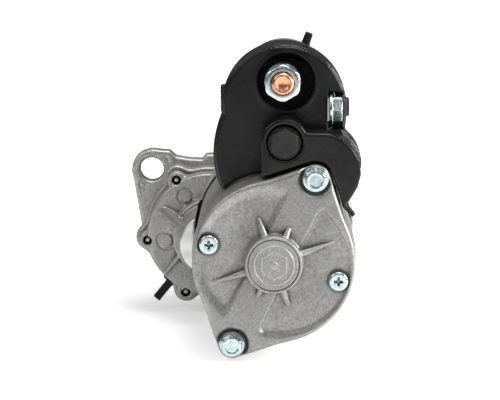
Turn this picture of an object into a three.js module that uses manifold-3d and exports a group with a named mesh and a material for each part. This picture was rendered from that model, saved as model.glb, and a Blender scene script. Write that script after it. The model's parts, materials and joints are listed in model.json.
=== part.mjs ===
// Offset-geared starter motor: a series-wound motor drives a splined shaft through one pair of
// spur gears, and a solenoid above it throws the pinion forward through a shift lever.
// Millimetres. The origin is on the mounting face at the root of the lower right ear, +Y points
// along the drive shaft towards the pinion, and +Z is up. Inside the starter's group, places are
// measured from the drive shaft's axis, which is x = z = 0 there.

import * as THREE from "three";
import { mergeVertices } from "three/addons/utils/BufferGeometryUtils.js";
import Module from "manifold-3d";

const wasm = await Module();
wasm.setup();

// ---------------------------------------------------------------- driving dimensions

const DEG = Math.PI / 180;
const GAP = 0.3; // clearance left between neighbouring pieces

const GEAR = { module: 2, motorTeeth: 9, shaftTeeth: 29, shift: 0.4, backlash: 0.32 };
const PINION = { module: 3, teeth: 10, shift: 0.5, backlash: 0.3 };
const CENTRES = (GEAR.module * (GEAR.motorTeeth + GEAR.shaftTeeth)) / 2;

const MOTOR_ANGLE = 10.6 * DEG; // from the drive shaft's axis to the motor's
const MOTOR = polar(0, 0, CENTRES, MOTOR_ANGLE);
const LEVER_TILT = 26 * DEG; // the lever's plane leans this far from +Z towards +X
const SOLENOID_REACH = 97; // drive shaft's axis to the solenoid's
const SOLENOID = polar(0, 0, SOLENOID_REACH, Math.PI / 2 - LEVER_TILT);
const ORIGIN = { x: 29, z: -29 }; // the part's origin, from the drive shaft's axis

const CAP = {
  face: -192, rim: -162, faceRadius: 43.7, rimRadius: 44.7,
  hubFace: -202, hubRadius: 15.4, inner: 40, floor: -187, bushEnd: -183.8, bore: 8.6,
};
const YOKE = { rear: -160.2, front: -49.8, outer: 44.5, inner: 39.5 };
const BOLT = { radius: 3, hole: 3.4, circle: 50.2, angle: 63.5 * DEG, ear: 8.2, pocket: 3, across: 10 };
const BRUSH = { screwCircle: 36.2, screwAngle: 164.2 * DEG, plateRear: -183.5, plateFront: -181 };
const COVER = { seat: -47, disc: -43, front: -29, discRadius: 36, seatRadius: 46, wallRadius: 38.8 };
const DISC_CENTRE = { x: -1.9, z: 0.2 }; // the gear case is not quite round the drive shaft
const GEAR_ROOM = { rear: -37, front: -19, shaftRadius: 32.5, motorRadius: 14 };
const SCREW = { radius: 2, hole: 2.4, circle: 38.3, angles: [123.1, 185.8, 246], lobe: 5.8, wallLobe: 7 };
const BOSS = { face: -82, radius: 17, root: 19.5, step: 22.7, stepRear: -52 };
const FLANGE = { rear: -13, radius: 39, earCircle: 50.9, ear: 12, hole: 7, angles: [136.2, 46.2, -43.8] };
const SPIGOT = { height: 8, radius: 37.5 };
const NOSE = { tip: 78, shell: 30, clear: 25, window: [26, 61], windowAngle: 235 * DEG };
const CHAMBER = { radius: 30, rear: -16, front: 12 };
const DRAIN_ANGLE = 231 * DEG;

const CAN = { rear: -142, front: -38, radius: 28.5, seat: -37.7 };
const SEAT_EAR = { radius: 6.6, reach: 33.4, hole: 2.8, angles: [-30 * DEG, 210 * DEG] };
const TERMINAL = { offset: 16.4, angle: 91.7 * DEG }; // the main terminals, about the solenoid's axis
const LID = { rear: -163, radius: 28, inner: 25, seat: -157.5 };
const IGNITION = { y: -171.4, z: 0.8, washer: 8, head: 7.5 };
const HOOD = { rear: -165.5, front: -136, radius: 34.1, wall: 1.8, plate: 2.2, centre: { x: 0.2, z: 1.1 } };
const LEAD_HOOD = { rear: -188.5, front: -166, wall: 2 };

const LEVER = { pivot: 50, top: SOLENOID_REACH, angle: 8 * DEG, pivotY: -1.54, thick: 7 };
const CLUTCH = { radius: 22.5, rear: -2.2, front: 24, ringRear: -15.5, groove: [-12.5, -4.5] };

// ---------------------------------------------------------------- small helpers

function polar(x, z, radius, angle) {
  return { x: x + radius * Math.cos(angle), z: z + radius * Math.sin(angle) };
}

// A closed three.js geometry as a manifold-3d solid, turned outward if it faces inward.
function solid(geometry) {
  const bare = new THREE.BufferGeometry();
  bare.setAttribute("position", geometry.getAttribute("position"));
  bare.setIndex(geometry.index);
  const merged = mergeVertices(bare, 1e-4);
  const triVerts = new Uint32Array(merged.index.array);
  const build = () =>
    new wasm.Manifold(
      new wasm.Mesh({ numProp: 3, vertProperties: merged.attributes.position.array, triVerts }),
    );
  const made = build();
  if (made.volume() >= 0) return made;
  for (let i = 0; i < triVerts.length; i += 3) {
    [triVerts[i + 1], triVerts[i + 2]] = [triVerts[i + 2], triVerts[i + 1]];
  }
  return build();
}

function union(...solids) {
  return solids.reduce((sum, next) => sum.add(next));
}

function without(base, ...cuts) {
  return cuts.reduce((left, cut) => left.subtract(cut), base);
}

// Turns a profile of [radius, y] points about the Y axis; a profile off the axis closes on itself.
function turned(profile, segments = 22) {
  const points = profile.map(([r, y]) => new THREE.Vector2(r, y));
  const last = points[points.length - 1];
  if (points[0].x > 0 || last.x > 0) points.push(points[0].clone());
  return solid(new THREE.LatheGeometry(points, segments));
}

function rod(radius, y0, y1, segments = 16) {
  return turned([[0, y0], [radius, y0], [radius, y1], [0, y1]], segments);
}

function tube(inner, outer, y0, y1, segments = 20) {
  return turned([[inner, y0], [outer, y0], [outer, y1], [inner, y1]], segments);
}

// A shape drawn in x and z, given depth along Y.
function prism(shape, y0, y1, curveSegments = 4) {
  const geometry = new THREE.ExtrudeGeometry(shape, { depth: y1 - y0, bevelEnabled: false, curveSegments });
  return solid(geometry.rotateX(Math.PI / 2).translate(0, y1, 0));
}

function outline(points) {
  return new THREE.Shape(points.map(([x, z]) => new THREE.Vector2(x, z)));
}

function box(x0, x1, y0, y1, z0, z1) {
  const geometry = new THREE.BoxGeometry(x1 - x0, y1 - y0, z1 - z0);
  return solid(geometry.translate((x0 + x1) / 2, (y0 + y1) / 2, (z0 + z1) / 2));
}

function at(place, body) {
  return body.translate([place.x, 0, place.z]);
}

// Two circles of radius big and small, distance apart, joined by their tangents, lying at an angle.
function eared(big, small, distance, angle) {
  const lean = Math.acos((big - small) / distance);
  const tip = polar(0, 0, distance, angle);
  const shape = new THREE.Shape();
  shape.moveTo(0, 0);
  shape.lineTo(big * Math.cos(angle - lean), big * Math.sin(angle - lean));
  shape.absarc(tip.x, tip.z, small, angle - lean, angle + lean, false);
  shape.lineTo(big * Math.cos(angle + lean), big * Math.sin(angle + lean));
  return shape;
}

function sector(inner, outer, from, to) {
  const shape = new THREE.Shape();
  shape.absarc(0, 0, outer, from, to, false);
  shape.absarc(0, 0, inner, to, from, true);
  return shape;
}

// The outline of an involute spur gear with one tooth centred on the angle "lead".
function gearOutline({ module, teeth, shift, backlash, lead, tipCut = 0.3, flankSteps = 1 }) {
  const pitch = (module * teeth) / 2;
  const base = pitch * Math.cos(20 * DEG);
  const tip = pitch + module * (1 + shift) - tipCut;
  const root = pitch - module * (1.25 - shift);
  const involute = (angle) => Math.tan(angle) - angle;
  const atPitch = (Math.PI / 2 + 2 * shift * Math.tan(20 * DEG)) / teeth - backlash / (2 * pitch);
  const halfAngle = (r) =>
    atPitch + involute(20 * DEG) - involute(Math.acos(Math.min(1, base / Math.max(r, base))));
  const start = Math.max(base, root);
  const radii = root < base ? [root] : [];
  for (let i = 0; i <= flankSteps; i++) radii.push(start + ((tip - start) * i) / flankSteps);
  const points = [];
  for (let tooth = 0; tooth < teeth; tooth++) {
    const centre = lead + (tooth * 2 * Math.PI) / teeth;
    const place = (r, side) => {
      const angle = centre + side * halfAngle(r);
      points.push([r * Math.cos(angle), r * Math.sin(angle)]);
    };
    radii.forEach((r) => place(r, -1));
    [...radii].reverse().forEach((r) => place(r, 1));
  }
  return outline(points);
}

// A round wire wound about the Y axis.
function coil({ radius, wire, y0, y1, turns, stepsPerTurn = 7, sides = 2 }) {
  class Helix extends THREE.Curve {
    getPoint(t, target = new THREE.Vector3()) {
      const angle = t * turns * 2 * Math.PI;
      const y = y0 + wire + t * (y1 - y0 - 2 * wire);
      return target.set(radius * Math.cos(angle), y, radius * Math.sin(angle));
    }
  }
  const section = new THREE.Shape();
  section.absarc(0, 0, wire, 0, 2 * Math.PI, false);
  const options = { steps: turns * stepsPerTurn, extrudePath: new Helix(), curveSegments: sides };
  return solid(new THREE.ExtrudeGeometry(section, options));
}

function cable(points, radius, steps) {
  const section = new THREE.Shape();
  section.absarc(0, 0, radius, 0, 2 * Math.PI, false);
  const extrudePath = new THREE.CatmullRomCurve3(points.map((p) => new THREE.Vector3(...p)));
  return solid(new THREE.ExtrudeGeometry(section, { steps, extrudePath, curveSegments: 3 }));
}

// A hexagon prism along Y with corners above and below; across is the distance over its flats.
function hexagon(across, y0, y1) {
  const corner = across / Math.sqrt(3);
  return rod(corner, y0, y1, 6);
}

// A three.js shape as a flat manifold-3d section, whose outline can be drawn in or out evenly.
function section(shape, divisions = 6) {
  return new wasm.CrossSection([shape.getPoints(divisions).map(({ x, y }) => [x, y])], "NonZero");
}

function disc(radius, place, segments = 36) {
  return wasm.CrossSection.circle(radius, segments).translate([place.x, place.z]);
}

// A flat section grown by "margin" and given depth along Y.
function raised(flat, margin, y0, y1) {
  const grown = margin === 0 ? flat : flat.offset(margin, "Miter");
  return grown.extrude(y1 - y0).rotate([90, 0, 0]).translate([0, y1, 0]);
}

function geometryOf(body) {
  const { numProp, numVert, vertProperties, triVerts } = body.getMesh();
  const positions = new Float32Array(numVert * 3);
  for (let i = 0; i < numVert; i++) {
    positions.set(vertProperties.subarray(i * numProp, i * numProp + 3), i * 3);
  }
  const geometry = new THREE.BufferGeometry();
  geometry.setAttribute("position", new THREE.BufferAttribute(positions, 3));
  geometry.setIndex(new THREE.BufferAttribute(triVerts, 1));
  geometry.computeVertexNormals();
  return geometry;
}

// ---------------------------------------------------------------- materials and groups

function finish(color, roughness, metalness) {
  return new THREE.MeshStandardMaterial({ color, roughness, metalness });
}

const castAluminium = finish(0x9a9b97, 0.5, 0.9);
const zincSteel = finish(0xc3ccd0, 0.25, 1.0);
const yokeSteel = finish(0x8b8a88, 0.4, 0.9);
const gearSteel = finish(0x6f7175, 0.35, 1.0);
const copper = finish(0xc8714a, 0.3, 1.0);
const bronze = finish(0xa9793f, 0.45, 1.0);
const carbon = finish(0x2b2b2d, 0.8, 0.1);
const blackPaint = finish(0x17181a, 0.4, 0.1);
const blackPlastic = finish(0x1c1b1c, 0.45, 0.0);
const bakelite = finish(0x241d1a, 0.6, 0.0);
const rubber = finish(0x121212, 0.85, 0.0);
const enamel = finish(0x8a3b1f, 0.4, 0.3);
const lamination = finish(0x5c5f63, 0.5, 0.8);

const starter = new THREE.Group();
starter.position.set(-ORIGIN.x, 0, -ORIGIN.z);
const motorGroup = new THREE.Group(); // its Y axis is the armature's
motorGroup.position.set(MOTOR.x, 0, MOTOR.z);
const solenoidGroup = new THREE.Group(); // its Y axis is the plunger's
solenoidGroup.position.set(SOLENOID.x, 0, SOLENOID.z);
const leverGroup = new THREE.Group(); // its Z axis runs from the drive shaft to the solenoid
leverGroup.rotation.y = LEVER_TILT;
starter.add(motorGroup, solenoidGroup, leverGroup);

function add(group, name, body, material) {
  const mesh = new THREE.Mesh(geometryOf(body), material);
  mesh.name = name;
  group.add(mesh);
}

// ---------------------------------------------------------------- motor

const boltAngles = [BOLT.angle, BOLT.angle + Math.PI];
const boltPlaces = boltAngles.map((angle) => polar(0, 0, BOLT.circle, angle));
const brushScrewPlaces = [0, Math.PI].map((turn) => polar(0, 0, BRUSH.screwCircle, BRUSH.screwAngle + turn));
const LEAD_ENTRY = { angle: 44 * DEG, y: -148, radius: 5 }; // where the lead enters the yoke

// One bolt ear of a round wall of the given radius, about the motor's axis.
function boltEar(angle, radius, y0, y1) {
  return prism(eared(radius, BOLT.ear, BOLT.circle, angle), y0, y1);
}

function rearCap() {
  const { face, rim, faceRadius, rimRadius, hubFace, hubRadius, inner, floor, bushEnd, bore } = CAP;
  const profile = [[0, face], [faceRadius - 2, face], [faceRadius, face + 2], [rimRadius, rim], [0, rim]];
  const hub = turned([
    [0, hubFace], [hubRadius - 1, hubFace], [hubRadius, hubFace + 1], [hubRadius, face + 1], [0, face + 1],
  ]);
  const ears = boltAngles.map((angle) => boltEar(angle, rimRadius - 0.6, face + 2, rim));
  const room = [[0, floor], [inner - 1, floor], [inner, floor + 2], [inner, rim + 1], [0, rim + 1]];
  const hollow = turned(room, 24);
  const bushSeat = rod(12.5, floor - 1, bushEnd);
  const pockets = boltPlaces.map((place) => at(place, rod(9.4, face - 1, face + BOLT.pocket)));
  const boltHoles = boltPlaces.map((place) => at(place, rod(BOLT.hole, face, rim + 1, 10)));
  const screwHoles = brushScrewPlaces.map((place) => at(place, rod(2.85, face - 1, face + 8, 10)));
  const body = union(without(union(turned(profile, 36), hub, ...ears), hollow), bushSeat);
  return without(body, rod(bore, hubFace + 4, bushEnd + 1), ...pockets, ...boltHoles, ...screwHoles);
}

function yoke() {
  const { rear, front, outer, inner } = YOKE;
  const entry = polar(0, 0, outer, LEAD_ENTRY.angle);
  const hole = rod(LEAD_ENTRY.radius + GAP, -10, 10, 16)
    .rotate([0, 0, -90])
    .rotate([0, -LEAD_ENTRY.angle / DEG, 0])
    .translate([entry.x, LEAD_ENTRY.y, entry.z]);
  return without(tube(inner, outer, rear, front, 36), hole);
}

function leadGrommet() {
  const neck = LEAD_ENTRY.radius - 0.2;
  const body = turned([[0, -5], [neck, -5], [neck, 0.4], [6.4, 0.6], [6.4, 1.8], [0, 1.8]], 16);
  const bore = rod(3.4, -6, 3, 16);
  const entry = polar(0, 0, YOKE.outer, LEAD_ENTRY.angle);
  return without(body, bore)
    .rotate([0, 0, -90])
    .rotate([0, -LEAD_ENTRY.angle / DEG, 0])
    .translate([entry.x, LEAD_ENTRY.y, entry.z]);
}

function poleShoe(angle) {
  const half = 22 * DEG;
  return prism(sector(30.8, YOKE.inner - GAP, angle - half, angle + half), -130, -66, 4);
}

function fieldCoils(poleAngles) {
  const around = 37 * DEG;
  const inside = 23.5 * DEG;
  const loops = poleAngles.map((angle) =>
    without(
      prism(sector(32.5, 38.8, angle - around, angle + around), -136, -60, 3),
      prism(sector(30, 41, angle - inside, angle + inside), -130.5, -65.5, 2),
    ),
  );
  return union(...loops, tube(34, 37, -138.5, -135, 20));
}

// The four brushes stand midway between the poles' neighbours, 45 degrees off the plate's screws.
const quarters = [0, 1, 2, 3].map((turn) => (turn * Math.PI) / 2);
const holderAngles = quarters.map((turn) => BRUSH.screwAngle - 135 * DEG + turn);

function turnedTo(angle, body) {
  return body.rotate([0, -angle / DEG, 0]);
}

function brushHolder() {
  const { plateRear, plateFront } = BRUSH;
  const screwHoles = brushScrewPlaces.map((place) => at(place, rod(2.4, plateRear - 1, plateFront + 1, 14)));
  const plate = without(tube(20, 38.5, plateRear, plateFront, 22), ...screwHoles);
  const boxes = holderAngles.map((angle) => {
    const walls = box(18.6, 33, -181.2, -169.5, -5.8, 5.8);
    const slot = box(18, 31.5, -179.8, -171, -4.4, 4.4);
    return turnedTo(angle, walls.subtract(slot));
  });
  return union(plate, ...boxes);
}

function brush(angle) {
  return turnedTo(angle, box(17.6, 28, -179.4, -171.4, -4, 4));
}

function throughBolt(place) {
  const seat = CAP.face + BOLT.pocket - GAP;
  const head = hexagon(BOLT.across, seat - 8.2, seat - 1);
  const flange = turned([[0, seat - 1.6], [5.6, seat - 1.6], [7.1, seat - 0.6], [7.1, seat], [0, seat]], 18);
  const shank = rod(BOLT.radius, seat - 1, -21, 12);
  return at(place, union(head, flange, shank));
}

function brushScrew(place) {
  const head = turned([[0, -195], [3.6, -195], [5, -194], [5.2, -192.4], [0, -192.4]], 20);
  const shank = rod(2, -192.8, -178, 14);
  const slot = union(box(-2.6, 2.6, -196, -193.6, -0.6, 0.6), box(-0.6, 0.6, -196, -193.6, -2.6, 2.6));
  return at(place, union(head, shank).subtract(slot));
}

const SLOTS = 12; // armature slots, and half the commutator's bars

function notchedRing(inner, outer, depth, width, count, y0, y1) {
  const notches = [];
  for (let i = 0; i < count; i++) {
    const notch = box(outer - depth, outer + 2, y0 - 1, y1 + 1, -width / 2, width / 2);
    notches.push(turnedTo((i * 2 * Math.PI) / count, notch));
  }
  return without(tube(inner, outer, y0, y1, count * 2), ...notches);
}

function armatureWinding() {
  const bars = [];
  for (let i = 0; i < SLOTS; i++) {
    bars.push(turnedTo((i * 2 * Math.PI) / SLOTS, box(24, 28.6, -130.5, -65.5, -1.6, 1.6)));
  }
  const rearEnd = turned([[9, -146], [20, -146], [28.6, -140], [28.6, -130.3], [9, -130.3]]);
  const frontEnd = turned([[9, -65.7], [28.6, -65.7], [28.6, -58], [22, -54], [9, -54]]);
  return union(rearEnd, frontEnd, ...bars);
}

function armatureShaft() {
  const rearJournal = [[0, -196], [5, -196], [5, -182], [8, -182], [8, -50]];
  const frontJournal = [[6, -50], [6, -37.4], [7, -37.4], [7, -20.5], [0, -20.5]];
  const shaft = turned([...rearJournal, ...frontJournal], 24);
  const teeth = prism(gearOutline({ ...GEAR, teeth: GEAR.motorTeeth, lead: MOTOR_ANGLE }), -35, -20.5);
  return union(shaft, teeth);
}

const poleAngles = quarters.map((turn) => BOLT.angle + 45 * DEG + turn);

add(motorGroup, "rear_cap", rearCap(), castAluminium);
add(motorGroup, "rear_bush", tube(5.3, 8.3, -197, -184), bronze);
add(motorGroup, "rear_seal", tube(40.2, 44.2, -161.7, -160.5, 32), rubber);
add(motorGroup, "yoke", yoke(), yokeSteel);
add(motorGroup, "front_seal", tube(40.2, 45.2, -49.5, -47.3, 32), rubber);
add(motorGroup, "lead_grommet", leadGrommet(), rubber);
poleAngles.forEach((angle, i) => add(motorGroup, `pole_shoe_${i + 1}`, poleShoe(angle), gearSteel));
add(motorGroup, "field_coils", fieldCoils(poleAngles), copper);
add(motorGroup, "brush_holder", brushHolder(), bakelite);
holderAngles.forEach((angle, i) => add(motorGroup, `brush_${i + 1}`, brush(angle), carbon));
boltPlaces.forEach((place, i) => add(motorGroup, `through_bolt_${i + 1}`, throughBolt(place), zincSteel));
brushScrewPlaces.forEach((place, i) => add(motorGroup, `brush_screw_${i + 1}`, brushScrew(place), zincSteel));
add(motorGroup, "armature_bearing", tube(6.3, 15.6, -46.6, -38.8), gearSteel);
add(motorGroup, "armature_shaft", armatureShaft(), gearSteel);
add(motorGroup, "armature_core", notchedRing(8.3, 30, 6.4, 3.8, SLOTS, -130, -66), lamination);
add(motorGroup, "armature_winding", armatureWinding(), enamel);
add(motorGroup, "commutator", notchedRing(8.3, 17.2, 1, 0.6, SLOTS, -181, -160), copper);

// ---------------------------------------------------------------- gear cover and drive housing

const motorBoltPlaces = boltPlaces.map((place) => ({ x: place.x + MOTOR.x, z: place.z + MOTOR.z }));
const coverScrewPlaces = SCREW.angles.map((angle) => polar(0, 0, SCREW.circle, angle * DEG));

// The gear case's outline in plan: the gear's disc, the motor's disc with bolt ears, and the lobes.
function gearCase(y0, y1, discRadius, motorRadius, lobe) {
  const gearDisc = at(DISC_CENTRE, rod(discRadius, y0, y1, 32));
  const motorDisc = at(MOTOR, rod(motorRadius, y0, y1, 36));
  const ears = boltAngles.map((angle) => at(MOTOR, boltEar(angle, motorRadius - 1, y0, y1)));
  const lobes = SCREW.angles.map((angle) => {
    return prism(eared(discRadius - 4, lobe, SCREW.circle, angle * DEG), y0, y1);
  });
  return union(gearDisc, motorDisc, ...ears, ...lobes);
}

// A thin web standing on the gear cover, from the boss out to a low end near the rim.
function gusset(angle, outer, high, thick) {
  const inner = 8;
  const side = outline([
    [inner, BOSS.face + high], [14, BOSS.face + high],
    [outer, COVER.disc - 0.8], [outer, COVER.disc + 1], [inner, COVER.disc + 1],
  ]);
  const geometry = new THREE.ExtrudeGeometry(side, { depth: thick, bevelEnabled: false });
  return turnedTo(angle, solid(geometry.translate(0, 0, -thick / 2)));
}

function gearRoom(y0, y1) {
  const { shaftRadius, motorRadius } = GEAR_ROOM;
  return union(rod(shaftRadius, y0, y1, 26), at(MOTOR, rod(motorRadius, y0, y1)));
}

function gearCover() {
  const { seat, disc, front, discRadius, seatRadius } = COVER;
  const caseBody = gearCase(disc, front, discRadius, seatRadius, SCREW.lobe);
  const seatDisc = at(MOTOR, rod(seatRadius, seat, disc + 1, 36));
  const seatEars = boltAngles.map((angle) => at(MOTOR, boltEar(angle, seatRadius - 1, seat, disc + 1)));
  const { face, radius, root, step, stepRear } = BOSS;
  const boss = turned(
    [[0, face], [radius, face], [root, stepRear], [step, stepRear], [step + 1, disc + 1], [0, disc + 1]],
    26,
  );
  const webs = [gusset(153 * DEG, 33, 3, 4), gusset(219 * DEG, 33, 26, 3)];
  const yokeRoom = at(MOTOR, rod(YOKE.outer + 1.6, BOSS.face - 5, seat, 36));
  const outside = union(without(union(boss, ...webs), yokeRoom), caseBody, seatDisc, ...seatEars);
  return without(
    outside,
    gearRoom(GEAR_ROOM.rear, front + 1),
    at(MOTOR, rod(16, seat - 1, -38.4, 20)),
    at(MOTOR, rod(9, -39, GEAR_ROOM.rear + 1)),
    rod(9.3, -45, GEAR_ROOM.rear + 1),
    ...motorBoltPlaces.map((place) => at(place, rod(BOLT.hole, seat - 1, front + 1, 10))),
    ...coverScrewPlaces.map((place) => at(place, rod(SCREW.hole, disc - 1, front + 1, 10))),
    ...coverScrewPlaces.map((place) => at(place, rod(3.5, disc - 1, disc + 3.6, 12))),
  );
}

function coverScrew(place) {
  const top = COVER.disc + 0.9;
  const seat = COVER.disc + 3.3;
  const head = turned([[0, top], [2.5, top], [3, top + 0.6], [3, seat], [0, seat]], 12);
  const shank = rod(SCREW.radius, seat - 0.3, -20, 10);
  return at(place, union(head, shank));
}

// The flange's upper left corner, from the gear case's side round the ear to the lever housing.
function flangeCorner(ear) {
  const corner = new THREE.Shape();
  corner.moveTo(0, 0);
  corner.lineTo(-41.6, -4);
  corner.absarc(ear.x, ear.z, FLANGE.ear, 189 * DEG, 92 * DEG, true);
  corner.lineTo(-30.5, 46.6);
  corner.quadraticCurveTo(-25.6, 46.2, -23.6, 43.9);
  corner.quadraticCurveTo(-21.8, 41.8, -14.1, 41.1);
  corner.lineTo(-6.6, 40.8);
  corner.lineTo(-4.7, 43.6);
  corner.lineTo(14, 44.2);
  return corner;
}

function flangePlate() {
  const { rear, radius, ear, earCircle } = FLANGE;
  const [visible, ...hidden] = FLANGE.angles.map((angle) => angle * DEG);
  const corner = flangeCorner(polar(0, 0, earCircle, visible));
  const ears = hidden.map((angle) => prism(eared(radius, ear, earCircle, angle), rear, 0));
  return union(rod(radius, rear, 0, 32), prism(corner, rear, 0, 6), ...ears);
}

// The housing round the lever, in the lever's own frame: z runs from the drive shaft up.
function leverHousing(side, y1, top) {
  return union(
    box(-side, side, COVER.front + GAP, y1, 20, 80),
    box(-side, side, CAN.seat, y1, 71, SOLENOID_REACH),
    rod(top, CAN.seat, y1, 24).translate([0, 0, SOLENOID_REACH]),
  );
}

const seatEarPlaces = SEAT_EAR.angles.map((angle) => polar(0, 0, SEAT_EAR.reach, angle));

// The two ears that join the solenoid to its seat, about the solenoid's axis.
function seatEars(radius, y0, y1) {
  return SEAT_EAR.angles.map((angle) => prism(eared(radius, SEAT_EAR.radius, SEAT_EAR.reach, angle), y0, y1));
}

function inLeverFrame(body) {
  return body.rotate([0, LEVER_TILT / DEG, 0]);
}

function solenoidSeat(y0, y1, radius) {
  return at(SOLENOID, union(rod(radius, y0, y1, 28), ...seatEars(radius - 4, y0, y1)));
}

// The housing's outside: the gear wall, the neck, the flange, the spigot and nose, and the lever's case.
function housingOutside() {
  const gearWall = gearCase(COVER.front + GAP, -17, COVER.wallRadius, COVER.seatRadius - 1, SCREW.wallLobe);
  const neck = rod(36, -18, FLANGE.rear + 1, 26);
  const spigot = [[0, -1], [SPIGOT.radius, -1], [SPIGOT.radius, SPIGOT.height], [32, SPIGOT.height + 1]];
  const nose = [[NOSE.shell, 40], [28, 64], [22, NOSE.tip - 5], [17, NOSE.tip], [0, NOSE.tip]];
  const shell = turned([...spigot, ...nose], 28);
  const leverCase = inLeverFrame(leverHousing(15, 17, 26));
  return union(gearWall, neck, flangePlate(), shell, leverCase, solenoidSeat(CAN.seat, -29, 27.5));
}

function housingInside() {
  const { radius, rear, front } = CHAMBER;
  const bushShoulder = 24;
  const wall = [[0, GEAR_ROOM.front - 1], [bushShoulder, GEAR_ROOM.front - 1], [bushShoulder, rear]];
  const bell = [[radius, rear], [radius, front], [NOSE.clear, front + 4], [NOSE.clear, 64], [0, 64]];
  const leverRoom = union(
    box(-10.5, 10.5, CAN.seat - 1, 13, 62, SOLENOID_REACH),
    box(-10.5, 10.5, -14.5, 13, 24, 70),
    rod(21, CAN.seat - 1, 13, 20).translate([0, 0, SOLENOID_REACH]),
    rod(4 + GAP, -20, 20, 14).rotate([0, 0, 90]).translate([0, LEVER.pivotY, LEVER.pivot]),
  );
  const chamber = turned([...wall, ...bell], 24);
  return [chamber, inLeverFrame(leverRoom), gearRoom(COVER.front - 1, GEAR_ROOM.front)];
}

function driveHousing() {
  const window = turnedTo(NOSE.windowAngle, box(8, 60, NOSE.window[0], NOSE.window[1], -26, 26));
  const drain = turnedTo(DRAIN_ANGLE, prism(sector(34.9, 48, -9 * DEG, 9 * DEG), -25.3, -16.7));
  const earPlaces = FLANGE.angles.map((angle) => polar(0, 0, FLANGE.earCircle, angle * DEG));
  const seatScrewHoles = seatEarPlaces.map((place) => at(place, rod(SEAT_EAR.hole, CAN.seat - 1, -28, 10)));
  return without(
    housingOutside(),
    ...housingInside(),
    window,
    drain,
    rod(10, 60, NOSE.tip + 1),
    ...earPlaces.map((place) => at(place, rod(FLANGE.hole, FLANGE.rear - 1, 1))),
    ...motorBoltPlaces.map((place) => at(place, rod(BOLT.hole, COVER.front - 1, -20, 10))),
    ...coverScrewPlaces.map((place) => at(place, rod(SCREW.hole, COVER.front - 1, -19, 10))),
    ...seatScrewHoles.map((hole) => at(SOLENOID, hole)),
  );
}

// A rubber drain elbow: a pad on the case's underside with a square spout.
function drainTube() {
  const pad = prism(sector(35.2, 41.2, -8 * DEG, 8 * DEG), -25, -17);
  const spout = box(40.5, 54, -23.5, -18.5, -2.25, 2.25);
  return turnedTo(DRAIN_ANGLE, union(pad, spout));
}

add(starter, "gear_cover", gearCover(), castAluminium);
coverScrewPlaces.forEach((place, i) => add(starter, `cover_screw_${i + 1}`, coverScrew(place), zincSteel));
add(starter, "drive_housing", driveHousing(), castAluminium);
add(starter, "drain_tube", drainTube(), rubber);
add(starter, "nose_bush", tube(7.3, 9.7, 65, 77.5), bronze);
add(starter, "drive_shaft_bush", tube(6.8, 9, -44.6, -37.2), bronze);

// ---------------------------------------------------------------- drive shaft, clutch and pinion

const SPLINE = { core: 8, reach: 10.2, width: 4, front: 13.4 };

// The shaft's six straight splines on their core, grown by "margin" on every side.
function splines(margin, y0, y1) {
  const reach = SPLINE.reach + margin;
  const half = SPLINE.width / 2 + margin;
  const ribs = [0, 60, 120].map((angle) => turnedTo(angle * DEG, box(-reach, reach, y0, y1, -half, half)));
  return union(rod(SPLINE.core + margin, y0, y1), ...ribs);
}

function driveShaft() {
  const rearJournal = [[0, -44.3], [6.5, -44.3], [6.5, -36.5], [9.4, -36.5], [9.4, -17.6]];
  const frontJournal = [[SPLINE.core, -17.6], [SPLINE.core, 64], [7, 64], [7, 76.5], [0, 76.5]];
  return union(turned([...rearJournal, ...frontJournal], 18), splines(0, -17.8, SPLINE.front));
}

function driveGear() {
  const gear = { ...GEAR, teeth: GEAR.shaftTeeth, shift: -GEAR.shift, tipCut: 0.5, lead: MOTOR_ANGLE };
  const teeth = prism(gearOutline(gear), -34.5, -21.5);
  const web = union(tube(14.5, 23.5, -35, -32, 24), tube(14.5, 23.5, -24, -21, 24));
  return without(teeth, web, rod(9.7, -36, -20));
}

function clutchHousing() {
  const { radius, rear, front } = CLUTCH;
  const sleeve = [[0, -16.5], [12.6, -16.5], [12.6, rear]];
  const drum = [[radius - 1.5, rear], [radius, rear + 1.5], [radius, front], [0, front]];
  const body = turned([...sleeve, ...drum], 28);
  const splineBore = splines(0.4, -17.5, 10);
  return without(body, splineBore, rod(11, 8, front + 1), rod(17, 13, front + 1, 22));
}

function guideRing() {
  const { ringRear, groove } = CLUTCH;
  const bore = 12.9;
  const rim = 20;
  const floor = 14.5;
  const channel = [[rim, groove[0]], [floor, groove[0]], [floor, groove[1]], [rim, groove[1]]];
  return turned([[bore, ringRear], [rim, ringRear], ...channel, [rim, -2.5], [bore, -2.5]]);
}

function drivePinion() {
  const teeth = prism(gearOutline({ ...PINION, lead: 0 }), 27, 46);
  const race = rod(15, 14, 27.2, 22);
  return without(union(teeth, race), rod(8.4, 13, 47));
}

add(starter, "drive_shaft", driveShaft(), gearSteel);
add(starter, "drive_gear", driveGear(), gearSteel);
add(starter, "stop_ring", tube(8.3, 11.5, 60.6, 63.2), gearSteel);
add(starter, "clutch_housing", clutchHousing(), gearSteel);
add(starter, "guide_ring", guideRing(), blackPlastic);
add(starter, "drive_pinion", drivePinion(), gearSteel);

// ---------------------------------------------------------------- shift lever

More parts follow.
